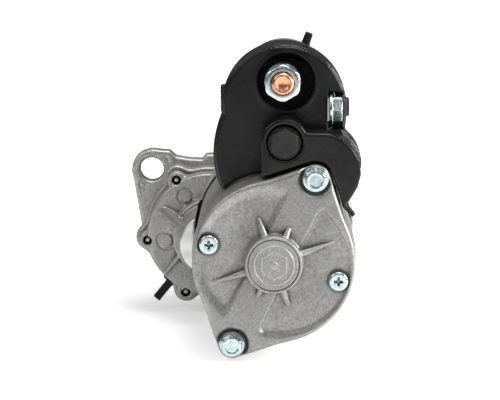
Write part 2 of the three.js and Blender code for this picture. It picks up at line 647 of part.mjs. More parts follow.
function shiftLever() {
  const { pivot, top, angle, pivotY, thick } = LEVER;
  const half = thick / 2;
  const fork = prism(sector(23.4, 28, -6 * DEG, 186 * DEG), -half, half, 8);
  const arm = box(-5, 5, -half, half, 26, top - 9);
  const knuckle = rod(3.9, -2.6, 2.6, 12).rotate([0, 0, 90]).translate([0, 0, top]);
  const tip = union(box(-2.6, 2.6, -2.8, 2.8, top - 12, top), knuckle);
  const hub = rod(7.4, -8.5, 8.5).rotate([0, 0, 90]).translate([0, 0, pivot]);
  const pins = [-1, 1].map((side) => rod(3.3, -4.2, 4.2, 12).rotate([0, 0, 90]).translate([side * 20, 0, 0]));
  const pinBore = rod(4.4, -10, 10).rotate([0, 0, 90]).translate([0, 0, pivot]);
  return without(union(fork, arm, tip, hub, ...pins), pinBore)
    .translate([0, 0, -pivot])
    .rotate([-angle / DEG, 0, 0])
    .translate([0, pivotY, pivot]);
}

const pivotPin = rod(4, -14.5, 14.5).rotate([0, 0, 90]).translate([0, LEVER.pivotY, LEVER.pivot]);

add(leverGroup, "shift_lever", shiftLever(), blackPlastic);
add(leverGroup, "lever_pivot_pin", pivotPin, gearSteel);

// ---------------------------------------------------------------- solenoid

function solenoidCase() {
  const can = without(
    rod(CAN.radius, CAN.rear, CAN.front, 36),
    rod(26.3, CAN.rear + 3, CAN.front - 4, 24),
    rod(12.4, CAN.front - 6, CAN.front + 1, 20),
    rod(22, CAN.rear - 1, CAN.rear + 4, 20),
  );
  const core = rod(25, CAN.front - 6, CAN.front + 1, 36);
  const ears = seatEars(22, CAN.front - 4, CAN.front).map((ear) => ear.subtract(core));
  const holes = seatEarPlaces.map((place) => at(place, rod(SEAT_EAR.hole, CAN.front - 6, CAN.front + 1, 10)));
  return without(union(can, ...ears), ...holes);
}

function solenoidScrew(place) {
  const head = hexagon(8, -46.2, -42.3);
  return at(place, union(head, rod(2.5, -42.6, -29.6, 12)));
}

const batteryPlace = polar(0, 0, TERMINAL.offset, TERMINAL.angle);
const motorPlace = polar(0, 0, TERMINAL.offset, TERMINAL.angle + Math.PI);

function contactLid() {
  const { rear, radius, inner, seat } = LID;
  const shell = rod(radius, rear, CAN.rear - GAP, 30).subtract(rod(inner, seat, CAN.rear + 1, 22));
  const posts = [at(batteryPlace, rod(9.6, -180, rear + 1)), at(motorPlace, rod(7.2, -175, rear + 1))];
  const bores = [at(batteryPlace, rod(6.3, -181, -157)), at(motorPlace, rod(5.3, -181, -157))];
  const bladeSlot = box(23.4, inner, rear - 1, -157.2, IGNITION.z - 6.3, IGNITION.z + 6.3);
  return without(union(shell, ...posts), ...bores, bladeSlot);
}

function terminalStud(radius, end, place) {
  return at(place, union(rod(radius, end, -157), rod(8.4, -157.2, -152.2)));
}

function nutOn(across, bore, y0, y1, place) {
  return at(place, hexagon(across, y0, y1).subtract(rod(bore, y0 - 1, y1 + 1)));
}

function ignitionTerminal() {
  return box(23.7, 24.7, IGNITION.y - 4.6, -157.6, IGNITION.z - 6, IGNITION.z + 6);
}

function ignitionScrew() {
  const washer = rod(IGNITION.washer, 25, 27.1, 20);
  const head = rod(IGNITION.head, 27, 31.8, 6);
  return union(washer, head).rotate([0, 0, -90]).translate([0, IGNITION.y, IGNITION.z]);
}

function plunger() {
  const slide = rod(11.2, -88, -37.5, 18);
  const stem = rod(6.6, -38, 12.5);
  const pocket = rod(8.7, -89, -74);
  const eye = inLeverFrame(box(-3.2, 3.2, 0.5, 9.5, -10, 10));
  return without(union(slide, stem), pocket, eye);
}

function solenoidCore() {
  return turned([[3.6, -138.5], [21.5, -138.5], [21.5, -134.5], [11, -134.5], [11, -101.6], [3.6, -101.6]]);
}

function contactPlate() {
  return union(rod(20.5, -148.2, -145.2, 22), rod(3, -149, -84.8, 10));
}

add(solenoidGroup, "solenoid_case", solenoidCase(), blackPaint);
add(solenoidGroup, "solenoid_coil", tube(12.4, 25.8, -134, -47, 22), enamel);
add(solenoidGroup, "solenoid_core", solenoidCore(), gearSteel);
seatEarPlaces.forEach((place, i) => {
  add(solenoidGroup, `solenoid_screw_${i + 1}`, solenoidScrew(place), zincSteel);
});
add(solenoidGroup, "contact_lid", contactLid(), bakelite);
add(solenoidGroup, "battery_terminal", terminalStud(6, -198, batteryPlace), copper);
add(solenoidGroup, "battery_washer", at(batteryPlace, tube(6.3, 9.8, -182, -180.3)), zincSteel);
add(solenoidGroup, "battery_nut", nutOn(18.5, 6.3, -192.6, -182.3, batteryPlace), zincSteel);
add(solenoidGroup, "motor_terminal", terminalStud(5, -184, motorPlace), copper);
add(solenoidGroup, "motor_terminal_nut", nutOn(14.6, 5.3, -189, -179, motorPlace), blackPaint);
add(solenoidGroup, "ignition_terminal", ignitionTerminal(), zincSteel);
add(solenoidGroup, "ignition_screw", ignitionScrew(), zincSteel);
add(solenoidGroup, "plunger", plunger(), gearSteel);
const springWire = coil({ radius: 7.4, wire: 0.8, y0: -101, y1: -75, turns: 6 });
add(solenoidGroup, "plunger_spring", springWire, gearSteel);
add(solenoidGroup, "contact_plate", contactPlate(), copper);

// ---------------------------------------------------------------- terminal hoods and motor lead

const motorAxis = { x: MOTOR.x - SOLENOID.x, z: MOTOR.z - SOLENOID.z }; // about the solenoid's axis

// The terminal hood's outline: a round top and a skirt that swells out over the rear cap.
function hoodOutline() {
  const skirt = new THREE.Shape();
  skirt.moveTo(0, 0);
  skirt.absarc(11.7, -24, 50, 155 * DEG, 211 * DEG, false);
  skirt.lineTo(22.6, -50.3);
  skirt.absarc(22.6, -30.3, 20, -90 * DEG, 52 * DEG, false);
  skirt.lineTo(34.2, 0);
  return disc(HOOD.radius, HOOD.centre).add(section(skirt, 4)).subtract(disc(CAP.rimRadius + 1, motorAxis));
}

// The rear cap's own outline with its bolt ears.
function capShadow(margin, y0, y1) {
  const radius = CAP.rimRadius + margin;
  const ears = boltAngles.map((angle) => {
    return prism(eared(radius - 0.6, BOLT.ear + margin, BOLT.circle, angle), y0, y1);
  });
  return at(motorAxis, union(rod(radius, y0, y1, 36), ...ears));
}

function terminalHood() {
  const { rear, front, wall, plate } = HOOD;
  const hood = hoodOutline();
  const shell = raised(hood, 0, rear, front).subtract(raised(hood, -wall, rear + plate, front + 1));
  const room = raised(hood, -wall / 2, rear, front + 1);
  const leftLug = box(-34.9, -25, -152, -142, -3.4, 12.2);
  const rightLug = box(25, 36.4, -152, -142, -5.8, 4.9);
  const sideLugs = union(leftLug, rightLug).subtract(room);
  const ventPost = box(-2.3, 2.3, -143, -137.5, 0, 8.6).rotate([0, 19.5, 0]).translate([11.3, 0, 31.7]);
  const batteryHole = rod(15.3, rear - 1, rear + 4, 24).translate([1.4, 0, 14.8]);
  const motorHole = at(motorPlace, rod(11, rear - 1, rear + 4));
  const ignitionNotch = box(23.4, 32.3, rear - 1, rear + 12, -11.1, 9.4);
  const leadExit = box(27.5, 46, rear - 1, front + 1, -60, -32.4);
  const openings = [batteryHole, motorHole, ignitionNotch, leadExit, capShadow(1, rear - 1, front + 1)];
  return without(union(shell, sideLugs, ventPost), ...openings);
}

// The lead hood's outline: a round boss over the lower terminal, and an arm that sweeps round the
// rear cap's bolt ear.
function leadHoodOutline() {
  const arm = new THREE.Shape();
  arm.moveTo(-11.6, -15.8);
  arm.lineTo(-11.6, -38);
  arm.lineTo(29, -53);
  arm.lineTo(32.4, -50.6);
  arm.lineTo(37.6, -43.4);
  arm.quadraticCurveTo(44.2, -33, 41.2, -25.4);
  arm.quadraticCurveTo(36.4, -10.9, 24.2, -10.9);
  arm.lineTo(11.5, -10.4);
  return disc(12.8, { x: 0.6, z: -15.8 }, 24).add(section(arm));
}

function leadHood() {
  const { rear, front, wall } = LEAD_HOOD;
  const hood = leadHoodOutline();
  const outer = raised(hood, 0, rear, front).subtract(capShadow(1, rear - 1, front + 1));
  const inner = raised(hood, -wall, rear + wall, front + 1).subtract(capShadow(1 + wall, rear, front + 2));
  const nutHole = rod(10, rear - 1, rear + wall + 1, 20).translate([0.6, 0, -15.8]);
  const tongue = box(-1.1, 1.1, rear + 1, rear + 11, -6, 1).rotate([0, -45, 0]).translate([32, 0, -49.6]);
  return union(without(outer, inner, nutHole), tongue.subtract(capShadow(0.6, rear - 1, front + 1)));
}

// A stiff flexible lead: a ring lug on the lower terminal, then a cable round the cap to the yoke.
function motorLead() {
  const lug = at(motorPlace, tube(5.3, 8.2, -178.3, -175.3));
  const entry = polar(motorAxis.x, motorAxis.z, YOKE.outer, LEAD_ENTRY.angle);
  const along = (distance, y, lift = 0) => {
    const place = polar(entry.x, entry.z, distance, LEAD_ENTRY.angle);
    return [place.x, y, place.z + lift];
  };
  const path = [
    [motorPlace.x + 7.4, -175.9, motorPlace.z],
    [18, -176.4, motorPlace.z - 0.8],
    [27.5, -176, -22],
    [34.2, -172.5, -29.5],
    [35.4, -165.5, -36.4],
    along(7, -152, 1),
    along(3, LEAD_ENTRY.y),
    along(-4.6, LEAD_ENTRY.y),
  ];
  return union(lug, cable(path, 2.8, 20));
}

add(solenoidGroup, "terminal_hood", terminalHood(), blackPlastic);
add(solenoidGroup, "lead_hood", leadHood(), blackPlastic);
add(solenoidGroup, "motor_lead", motorLead(), copper);

export default starter;
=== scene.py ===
"""The looks of an offset-geared starter motor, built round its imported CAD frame.

Cast and moulded pieces are signed-distance fields, which give them their fillets and draft, and
are turned into meshes with OpenVDB. Turned pieces are lathed. Sizes are in millimetres and x, y and
z are the frame's own axes, but places are measured from HOME, the drive shaft's axis at the mounting
face, until a mesh is made.
"""

import json
import math

import bpy
import numpy as np
import openvdb as vdb
from mathutils import Matrix, Vector


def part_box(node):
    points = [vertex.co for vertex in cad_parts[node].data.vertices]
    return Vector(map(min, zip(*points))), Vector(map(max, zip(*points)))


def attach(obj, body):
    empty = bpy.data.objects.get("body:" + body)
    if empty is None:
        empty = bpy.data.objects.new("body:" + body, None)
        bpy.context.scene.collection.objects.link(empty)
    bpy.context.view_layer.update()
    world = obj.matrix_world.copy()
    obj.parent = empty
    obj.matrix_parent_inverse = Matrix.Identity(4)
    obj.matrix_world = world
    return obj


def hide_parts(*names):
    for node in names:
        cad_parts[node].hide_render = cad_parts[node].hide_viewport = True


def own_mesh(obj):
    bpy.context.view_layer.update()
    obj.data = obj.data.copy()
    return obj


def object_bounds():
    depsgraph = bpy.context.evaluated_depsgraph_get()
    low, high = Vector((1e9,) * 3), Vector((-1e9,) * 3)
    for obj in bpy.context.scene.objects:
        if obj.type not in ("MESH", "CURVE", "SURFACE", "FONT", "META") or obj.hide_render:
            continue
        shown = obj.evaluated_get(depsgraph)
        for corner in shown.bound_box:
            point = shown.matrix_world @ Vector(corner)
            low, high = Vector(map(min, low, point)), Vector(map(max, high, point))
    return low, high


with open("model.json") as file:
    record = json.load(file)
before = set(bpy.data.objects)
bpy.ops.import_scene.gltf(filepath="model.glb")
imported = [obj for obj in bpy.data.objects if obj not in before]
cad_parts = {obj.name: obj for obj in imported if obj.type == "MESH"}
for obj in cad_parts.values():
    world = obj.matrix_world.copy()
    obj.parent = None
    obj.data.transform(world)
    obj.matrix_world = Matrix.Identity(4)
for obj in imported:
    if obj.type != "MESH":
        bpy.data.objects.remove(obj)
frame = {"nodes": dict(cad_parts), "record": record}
CAD_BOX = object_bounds()
MM = 0.001
JOINTS = {joint["name"]: joint for joint in frame["record"]["behaviour"]["joints"]}
HOME = np.array(JOINTS["drive_spin"]["pos_m"]) / MM

# ---------------------------------------------------------------- places taken from the frame


def span(node):
    low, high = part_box(node)
    return np.array(low) / MM - HOME, np.array(high) / MM - HOME


def axis_of(node):
    low, high = span(node)
    return ((low[0] + high[0]) / 2, (low[2] + high[2]) / 2)


SHAFT = (0.0, 0.0)
MOTOR = axis_of("yoke")
SOLENOID = axis_of("solenoid_coil")
BOLTS = [axis_of("through_bolt_1"), axis_of("through_bolt_2")]
BRUSH_SCREWS = [axis_of("brush_screw_1"), axis_of("brush_screw_2")]
COVER_SCREWS = [axis_of(f"cover_screw_{i}") for i in (1, 2, 3)]
SEAT_SCREWS = [axis_of("solenoid_screw_1"), axis_of("solenoid_screw_2")]
BATTERY = axis_of("battery_nut")
LOWER_STUD = axis_of("motor_terminal_nut")

CAP_HUB = span("rear_cap")[0][1]
CAP_FACE = CAP_HUB + 10
CAP_RIM = span("rear_cap")[1][1]
COVER_FRONT = span("gear_cover")[1][1]
COVER_SEAT = COVER_FRONT - 18
COVER_DISC = COVER_FRONT - 14
BOSS_FACE = span("gear_cover")[0][1]
SEAT_FACE = span("drive_housing")[0][1]
NOSE_TIP = span("drive_housing")[1][1]
HOOD_REAR, HOOD_FRONT = span("terminal_hood")[0][1], span("terminal_hood")[1][1]
LEAD_REAR, LEAD_FRONT = span("lead_hood")[0][1], span("lead_hood")[1][1]

EAR_RADIUS = 8.2  # round a through-bolt
DISC_CENTRE = (-1.9, 0.2)  # the gear case is not quite round the drive shaft
FLANGE_EARS = [136.2, 46.2, -43.8]  # degrees round the drive shaft
FLANGE_CIRCLE = 50.9
DRAIN_ANGLE = 231

# ---------------------------------------------------------------- signed distances


def circle(x, z, centre, radius):
    return np.hypot(x - centre[0], z - centre[1]) - radius


def smooth_min(a, b, k):
    h = np.clip(0.5 + 0.5 * (b - a) / k, 0, 1)
    return b + (a - b) * h - k * h * (1 - h)


def smooth_max(a, b, k):
    return -smooth_min(-a, -b, k)


def cut(body, tool, k=0.8):
    return smooth_max(body, -tool, k)


def slab(flat, y, y0, y1, edge=0.6):
    """A flat outline given depth along y, with its edges rounded."""
    across = flat + edge
    along = np.abs(y - (y0 + y1) / 2) - (y1 - y0) / 2 + edge
    outside = np.hypot(np.maximum(across, 0), np.maximum(along, 0))
    return np.minimum(np.maximum(across, along), 0) + outside - edge


def rectangle(u, v, u0, u1, v0, v1):
    du = np.abs(u - (u0 + u1) / 2) - (u1 - u0) / 2
    dv = np.abs(v - (v0 + v1) / 2) - (v1 - v0) / 2
    return np.minimum(np.maximum(du, dv), 0) + np.hypot(np.maximum(du, 0), np.maximum(dv, 0))


def polygon(u, v, points):
    """The distance to a closed outline of straight sides, negative inside."""
    nearest = np.float32(1e9)
    inside = np.zeros(np.broadcast(u, v).shape, bool)
    for (au, av), (bu, bv) in zip(points, points[1:] + points[:1]):
        eu, ev = bu - au, bv - av
        wu, wv = u - au, v - av
        t = np.clip((wu * eu + wv * ev) / (eu * eu + ev * ev), 0, 1)
        nearest = np.minimum(nearest, (wu - eu * t) ** 2 + (wv - ev * t) ** 2)
        if av != bv:
            inside ^= ((av > v) != (bv > v)) & (u < eu * (v - av) / ev + au)
    return np.where(inside, -1, 1) * np.sqrt(nearest)


def eared(x, z, centre, tip, big, small):
    """The outline round two circles and the tangents that join them."""
    reach = math.dist(centre, tip)
    ux, uz = (tip[0] - centre[0]) / reach, (tip[1] - centre[1]) / reach
    along = (x - centre[0]) * ux + (z - centre[1]) * uz
    across = np.abs((z - centre[1]) * ux - (x - centre[0]) * uz)
    lean = (big - small) / reach
    run = math.sqrt(1 - lean * lean)
    level = run * along - lean * across
    side = run * across + lean * along - big
    ends = np.where(level < 0, np.hypot(across, along) - big, np.hypot(across, along - reach) - small)
    return np.where((level >= 0) & (level <= run * reach), side, ends)


def spike(g, start, end, r0, r1):
    """A round bar that tapers from r0 at its start to r1 at its end."""
    run = np.subtract(end, start)
    dx, dy, dz = g.x - start[0], g.y - start[1], g.z - start[2]
    t = np.clip((dx * run[0] + dy * run[1] + dz * run[2]) / run.dot(run), 0, 1)
    gap = (dx - t * run[0]) ** 2 + (dy - t * run[1]) ** 2 + (dz - t * run[2]) ** 2
    return np.sqrt(gap) - (r0 + (r1 - r0) * t)


def web(g, angle, side, thick, edge=0.8):
    """A plate that stands along a radius of the drive shaft; side is its outline in radius and y."""
    turn = math.radians(angle)
    out = g.x * math.cos(turn) + g.z * math.sin(turn)
    across = np.abs(g.z * math.cos(turn) - g.x * math.sin(turn)) - thick / 2 + edge
    along = polygon(out, g.y, side) + edge
    outside = np.hypot(np.maximum(across, 0), np.maximum(along, 0))
    return np.minimum(np.maximum(across, along), 0) + outside - edge


def turned_field(g, centre, profile):
    """A solid of revolution; profile is its half outline in radius and y."""
    return polygon(np.hypot(g.x - centre[0], g.z - centre[1]), g.y, profile)


def polar(centre, radius, angle):
    turn = math.radians(angle)
    return (centre[0] + radius * math.cos(turn), centre[1] + radius * math.sin(turn))


def relax(points, quads, rounds=2):
    """Moves each point halfway to the mean of its neighbours, which takes out the grid's steps."""
    ends = np.concatenate([quads[:, [i, (i + 1) % 4]] for i in range(4)])
    a, b = ends[:, 0], ends[:, 1]
    count = np.bincount(ends.ravel(), minlength=len(points))[:, None]
    for _ in range(rounds):
        total = np.stack(
            [
                np.bincount(a, points[b, k], len(points)) + np.bincount(b, points[a, k], len(points))
                for k in range(3)
            ],
            axis=1,
        )
        points = (points + total / count) / 2
    return points


class Grid:
    """A block of sample points, on which a piece's signed distance is worked out."""

    def __init__(self, low, high, step):
        self.step = step * 1.0
        self.low = np.array(low, float) - 3 * self.step
        ends = np.array(high, float) + 4 * self.step
        axes = [np.arange(a, b, self.step, dtype=np.float32) for a, b in zip(self.low, ends)]
        self.x, self.y, self.z = np.meshgrid(*axes, indexing="ij", sparse=True)
        self.shape = [len(a) for a in axes]

    def piece(self, name, field):
        volume = vdb.FloatGrid(background=3 * self.step)
        volume.copyFromArray(np.array(np.broadcast_to(field, self.shape), np.float32, order="C"))
        points, quads = volume.convertToQuads(0.0)
        points = relax(points.astype(float), quads)
        return mesh_piece(name, points * self.step + self.low, quads)


def grid_round(centre, reach, y0, y1, step):
    """A grid over a round region about an axis along y."""
    low = (centre[0] - reach, y0, centre[1] - reach)
    high = (centre[0] + reach, y1, centre[1] + reach)
    return Grid(low, high, step)


# ---------------------------------------------------------------- meshes


def home(point=(0.0, 0.0, 0.0)):
    """A place in the frame, in metres, from millimetres measured from HOME."""
    return Vector((np.array(point, float) + HOME) * MM)


def mesh_piece(name, points, faces):
    mesh = bpy.data.meshes.new(name)
    places = (np.asarray(points, float) + HOME) * MM
    mesh.from_pydata(places.tolist(), [], [tuple(int(i) for i in face) for face in faces])
    mesh.shade_smooth()
    piece = bpy.data.objects.new(name, mesh)
    bpy.context.scene.collection.objects.link(piece)
    return piece


def soften(points, radius, steps=3):
    """Replaces each corner of a closed outline by a short curve."""
    smooth = []
    corners = [np.array(p, float) for p in points]
    for before, corner, after in zip(corners[-1:] + corners[:-1], corners, corners[1:] + corners[:1]):
        reach_in = min(radius, math.dist(before, corner) / 2.2)
        reach_out = min(radius, math.dist(after, corner) / 2.2)
        start = corner + (before - corner) / math.dist(before, corner) * reach_in
        end = corner + (after - corner) / math.dist(after, corner) * reach_out
        for i in range(steps + 1):
            t = i / steps
            smooth.append((1 - t) ** 2 * start + 2 * t * (1 - t) * corner + t * t * end)
    return [tuple(p) for p in smooth]


def lathed(name, profile, centre, corner=0.4, segments=96, ripple=None):
    """Turns a closed outline in radius and y; ripple(y, turn) adds to the radius, as a thread does."""
    rings = soften(profile, corner) if corner else profile
    rings = [(max(r, 0.0), y) for r, y in rings]
    points, faces = [], []
    for r, y in rings:
        for i in range(segments):
            turn = 2 * math.pi * i / segments
            radius = r + (ripple(r, y, turn) if ripple else 0)
            points.append((centre[0] + radius * math.cos(turn), y, centre[1] + radius * math.sin(turn)))
    count = len(rings)
    for j in range(count):
        for i in range(segments):
            k, m = (i + 1) % segments, (j + 1) % count
            faces.append((j * segments + i, m * segments + i, m * segments + k, j * segments + k))
    piece = mesh_piece(name, points, faces)
    clean(piece)
    return piece


def aim(piece, direction, place):
    """Turns a piece made about HOME's y axis to face a direction, and moves it to a place."""
    turn = Vector((0, 1, 0)).rotation_difference(direction).to_matrix().to_4x4()
    piece.data.transform(Matrix.Translation(home(place)) @ turn @ Matrix.Translation(-home()))


def clean(piece):
    """Merges doubled points, such as those on a lathe's axis, and turns every face outwards."""
    import bmesh

    work = bmesh.new()
    work.from_mesh(piece.data)
    bmesh.ops.remove_doubles(work, verts=work.verts, dist=1e-6)
    bmesh.ops.dissolve_degenerate(work, edges=work.edges, dist=1e-7)
    bmesh.ops.recalc_face_normals(work, faces=work.faces)
    work.to_mesh(piece.data)
    work.free()
    piece.data.shade_smooth()


def fit(piece, material, slot, body, *nodes):
    """Gives a piece its material and its body, and hides the CAD nodes that it stands for; its slot is not used."""
    piece.data.materials.clear()
    piece.data.materials.append(material)
    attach(piece, body)
    if nodes:
        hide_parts(*nodes)
    return piece


# ---------------------------------------------------------------- materials


class Shader:
    """A material with a Principled shader and short ways to add nodes to it."""

    def __init__(self, name, color, roughness, metallic, specular=0.5):
        self.material = bpy.data.materials.new(name)
        self.material.use_nodes = True
        self.tree = self.material.node_tree
        self.surface = next(n for n in self.tree.nodes if n.type == "BSDF_PRINCIPLED")
        self.set("Base Color", (*color, 1))
        self.set("Roughness", roughness)
        self.set("Metallic", metallic)
        self.set("Specular IOR Level", specular)
        self.place = self.add("ShaderNodeTexCoord").outputs["Object"]

    def set(self, name, value):
        if hasattr(value, "is_linked"):
            self.tree.links.new(value, self.surface.inputs[name])
        else:
            self.surface.inputs[name].default_value = value

    def add(self, kind, settings=None, **inputs):
        node = self.tree.nodes.new(kind)
        for name, value in (settings or {}).items():
            setattr(node, name, value)
        for name, value in inputs.items():
            socket = node.inputs[int(name[1:])] if name[0] == "_" else node.inputs[name]
            if hasattr(value, "is_linked"):
                self.tree.links.new(value, socket)
            else:
                socket.default_value = value
        return node

    def noise(self, size, detail=2.0, roughness=0.5, place=None):
        """Noise whose cells are about "size" millimetres across."""
        node = self.add("ShaderNodeTexNoise", Vector=place or self.place, Scale=1 / (size * MM))
        node.inputs["Detail"].default_value = detail
        node.inputs["Roughness"].default_value = roughness
        return node.outputs["Fac"]

    def math(self, operation, a, b=0.5):
        return self.add("ShaderNodeMath", {"operation": operation}, _0=a, _1=b).outputs[0]

    def between(self, value, low, high, out_low=0.0, out_high=1.0):
        node = self.add("ShaderNodeMapRange", {"interpolation_type": "SMOOTHSTEP"}, Value=value)
        for name, number in zip(("From Min", "From Max", "To Min", "To Max"), (low, high, out_low, out_high)):
            node.inputs[name].default_value = number
        return node.outputs["Result"]

    def mix(self, amount, a, b):
        node = self.add("ShaderNodeMix", {"data_type": "RGBA"})
        for index, value in ((0, amount), (6, a), (7, b)):
            socket = node.inputs[index]
            if hasattr(value, "is_linked"):
                self.tree.links.new(value, socket)
            else:
                socket.default_value = value if index == 0 else (*value, 1)
        return node.outputs[2]

    def bump(self, height, depth, strength=1.0):
        """Adds relief of "depth" millimetres; calls stack."""
        node = self.add("ShaderNodeBump", Height=height, Distance=depth * MM, Strength=strength)
        if self.surface.inputs["Normal"].is_linked:
            self.tree.links.new(self.surface.inputs["Normal"].links[0].from_socket, node.inputs["Normal"])
        self.set("Normal", node.outputs["Normal"])

    def edges(self, radius=0.5):
        """How sharply the surface turns here: 0 on a flat face, 1 on an edge; the mask for painted edge highlights.
        """
        round_normal = self.add("ShaderNodeBevel", {"samples": 4}, Radius=radius * MM).outputs["Normal"]
        true_normal = self.add("ShaderNodeNewGeometry").outputs["Normal"]
        dot = self.add("ShaderNodeVectorMath", {"operation": "DOT_PRODUCT"}, _0=round_normal, _1=true_normal)
        return self.between(dot.outputs["Value"], 0.995, 0.9)

    def corner_shade(self, reach):
        """How closed in the surface is here: 0 in the open, 1 deep in a corner; the mask for painted shade in
        corners.
        """
        node = self.add("ShaderNodeAmbientOcclusion", {"samples": 6}, Distance=reach * MM)
        return self.between(node.outputs["AO"], 0.92, 0.45)

    def rings(self, centre, spacing):
        """A sine wave that runs outwards from an axis along y."""
        moved = self.add("ShaderNodeVectorMath", {"operation": "SUBTRACT"}, _0=self.place)
        moved.inputs[1].default_value = home((centre[0], 0, centre[1]))
        flat = self.add("ShaderNodeVectorMath", {"operation": "MULTIPLY"}, _0=moved.outputs[0])
        flat.inputs[1].default_value = (1, 0, 1)
        length = self.add("ShaderNodeVectorMath", {"operation": "LENGTH"}, _0=flat.outputs[0])
        return self.math("SINE", self.math("MULTIPLY", length.outputs["Value"], 6.283 / (spacing * MM)), 0)


def cast_aluminium(name, shade):
    """Sand-blasted casting: cloudy tone, dark grain, painted brown shade in its corners and painted highlights on its
    edges. The shade argument darkens the whole colour; under 1 it makes a shaded copy.
    """
    s = Shader(name, (0.5, 0.5, 0.49), 0.5, 0.85)

    def tone(level, warmth=0.0):
        return (shade * level, shade * level * (1 - 0.3 * warmth), shade * level * (1 - 2 * warmth))

    base = s.mix(s.between(s.noise(22, 5, 0.6), 0.3, 0.7), tone(0.42, 0.02), tone(0.55, 0.02))
    grain = s.noise(1.2, 5, 0.8)
    base = s.mix(s.between(grain, 0.3, 0.54, 0.75, 0.0), base, tone(0.2, 0.02))
    base = s.mix(s.between(grain, 0.54, 0.7, 0.0, 0.6), base, tone(0.85, 0.01))
    smudge = s.between(s.noise(7, 6, 0.75), 0.6, 0.74, 0, 0.4)
    base = s.mix(smudge, base, tone(0.22, 0.05))
    # Painted highlight: edges are mixed towards pale metal.
    base = s.mix(s.math("MULTIPLY", s.edges(0.7), 0.65), base, tone(0.95))
    # Painted shade: corners and creases are mixed towards dark brown.
    base = s.mix(s.math("MULTIPLY", s.corner_shade(3.5), 0.88), base, tone(0.07, 0.14))
    s.set("Base Color", base)
    s.set("Roughness", s.between(s.noise(3.5, 4, 0.6), 0.3, 0.7, 0.4, 0.56))
    s.bump(grain, 0.1, 0.6)
    s.bump(s.noise(2.6, 3), 0.12, 0.4)
    return s.material


def machined_aluminium(centre):
    s = Shader("machined_aluminium", (0.8, 0.8, 0.79), 0.3, 0.9)
    rings = s.rings(centre, 0.45)
    s.set("Base Color", s.mix(s.between(s.noise(9, 4), 0.35, 0.7), (0.82, 0.83, 0.82), (0.66, 0.66, 0.65)))
    s.bump(rings, 0.012, 0.5)
    s.bump(s.noise(1.2, 3), 0.03, 0.3)
    return s.material


def zinc():
    """Blue-passivated zinc: pale cyan faces, with painted dark teal shade in its corners."""
    s = Shader("zinc_steel", (0.55, 0.68, 0.72), 0.22, 1.0)
    tint = s.between(s.noise(2.6, 3), 0.35, 0.65)
    base = s.mix(tint, (0.46, 0.61, 0.66), (0.70, 0.77, 0.77))
    # Painted shade: corners are mixed towards dark teal.
    base = s.mix(s.math("MULTIPLY", s.corner_shade(2.5), 0.9), base, (0.03, 0.045, 0.045))
    s.set("Base Color", base)
    s.set("Roughness", s.between(s.noise(1.1, 4), 0.3, 0.7, 0.16, 0.34))
    s.bump(s.noise(0.8, 3), 0.03, 0.35)
    return s.material


def coated_steel():
    s = Shader("yoke_steel", (0.42, 0.415, 0.4), 0.4, 0.85)
    s.set("Base Color", s.mix(s.between(s.noise(18, 5, 0.6), 0.3, 0.7), (0.36, 0.355, 0.345), (0.48, 0.475, 0.46)))
    s.set("Roughness", s.between(s.noise(4, 4), 0.3, 0.7, 0.3, 0.46))
    stretched = s.add("ShaderNodeMapping", Vector=s.place, Scale=(1, 0.12, 1)).outputs[0]
    s.bump(s.noise(0.8, 3, place=stretched), 0.03, 0.35)
    return s.material


def machined_steel():
    s = Shader("machined_steel", (0.42, 0.43, 0.44), 0.3, 1.0)
    s.set("Base Color", s.mix(s.between(s.noise(6, 4), 0.3, 0.7), (0.36, 0.37, 0.38), (0.52, 0.53, 0.54)))
    s.set("Roughness", s.between(s.noise(2, 4), 0.3, 0.7, 0.2, 0.38))
    s.bump(s.noise(0.4, 2), 0.015, 0.4)
    return s.material


def copper():
    s = Shader("copper", (0.80, 0.36, 0.20), 0.28, 1.0)
    dark = s.between(s.noise(1.5, 5, 0.7), 0.5, 0.66, 0, 0.75)
    s.set("Base Color", s.mix(dark, (0.86, 0.42, 0.25), (0.30, 0.12, 0.07)))
    s.set("Roughness", s.between(s.noise(0.9, 3), 0.3, 0.7, 0.2, 0.42))
    s.bump(s.noise(0.7, 3), 0.05, 0.4)
    return s.material


def plain_metal(name, low, high, roughness):
    s = Shader(name, low, roughness, 1.0)
    s.set("Base Color", s.mix(s.between(s.noise(3, 4), 0.3, 0.7), low, high))
    s.bump(s.noise(0.5, 3), 0.02, 0.4)
    return s.material


def black_plastic():
    """Glossy moulded plastic, with painted pale highlights along its edges."""
    s = Shader("black_plastic", (0.006, 0.006, 0.006), 0.36, 0.0, 0.32)
    cloud = s.between(s.noise(14, 5), 0.3, 0.75)
    base = s.mix(cloud, (0.005, 0.005, 0.005), (0.012, 0.0115, 0.0115))
    # Painted highlight: edges are mixed towards pale grey, broken up by noise.
    edge_highlight = s.math("MULTIPLY", s.edges(0.55), s.between(s.noise(6, 4), 0.3, 0.65, 0.25, 0.9))
    base = s.mix(edge_highlight, base, (0.28, 0.275, 0.27))
    scratch = s.between(s.noise(1.6, 6, 0.8), 0.66, 0.74, 0, 0.35)
    s.set("Base Color", s.mix(scratch, base, (0.05, 0.05, 0.05)))
    s.set("Roughness", s.between(s.noise(9, 4, 0.6), 0.3, 0.7, 0.2, 0.38))
    s.bump(s.noise(0.5, 2), 0.03, 0.3)
    s.bump(s.noise(11, 3), 0.25, 0.15)
    return s.material


def dull_black(name, tone, roughness, grain, specular=0.35):
    s = Shader(name, (tone, tone, tone), roughness, 0.0, specular)
    pale = (tone * 1.8, tone * 1.75, tone * 1.7)
    s.set("Base Color", s.mix(s.between(s.noise(5, 4), 0.3, 0.7), (tone, tone, tone), pale))
    s.bump(s.noise(grain, 3), 0.08, 0.5)
    return s.material


def black_paint():
    s = Shader("black_paint", (0.008, 0.008, 0.009), 0.3, 0.0, 0.45)
    # Painted highlight: edges are mixed towards a lighter grey.
    s.set("Base Color", s.mix(s.edges(0.4), (0.008, 0.008, 0.009), (0.05, 0.05, 0.052)))
    s.set("Roughness", s.between(s.noise(6, 4), 0.3, 0.7, 0.24, 0.4))
    s.bump(s.noise(1.4, 2), 0.04, 0.3)
    return s.material


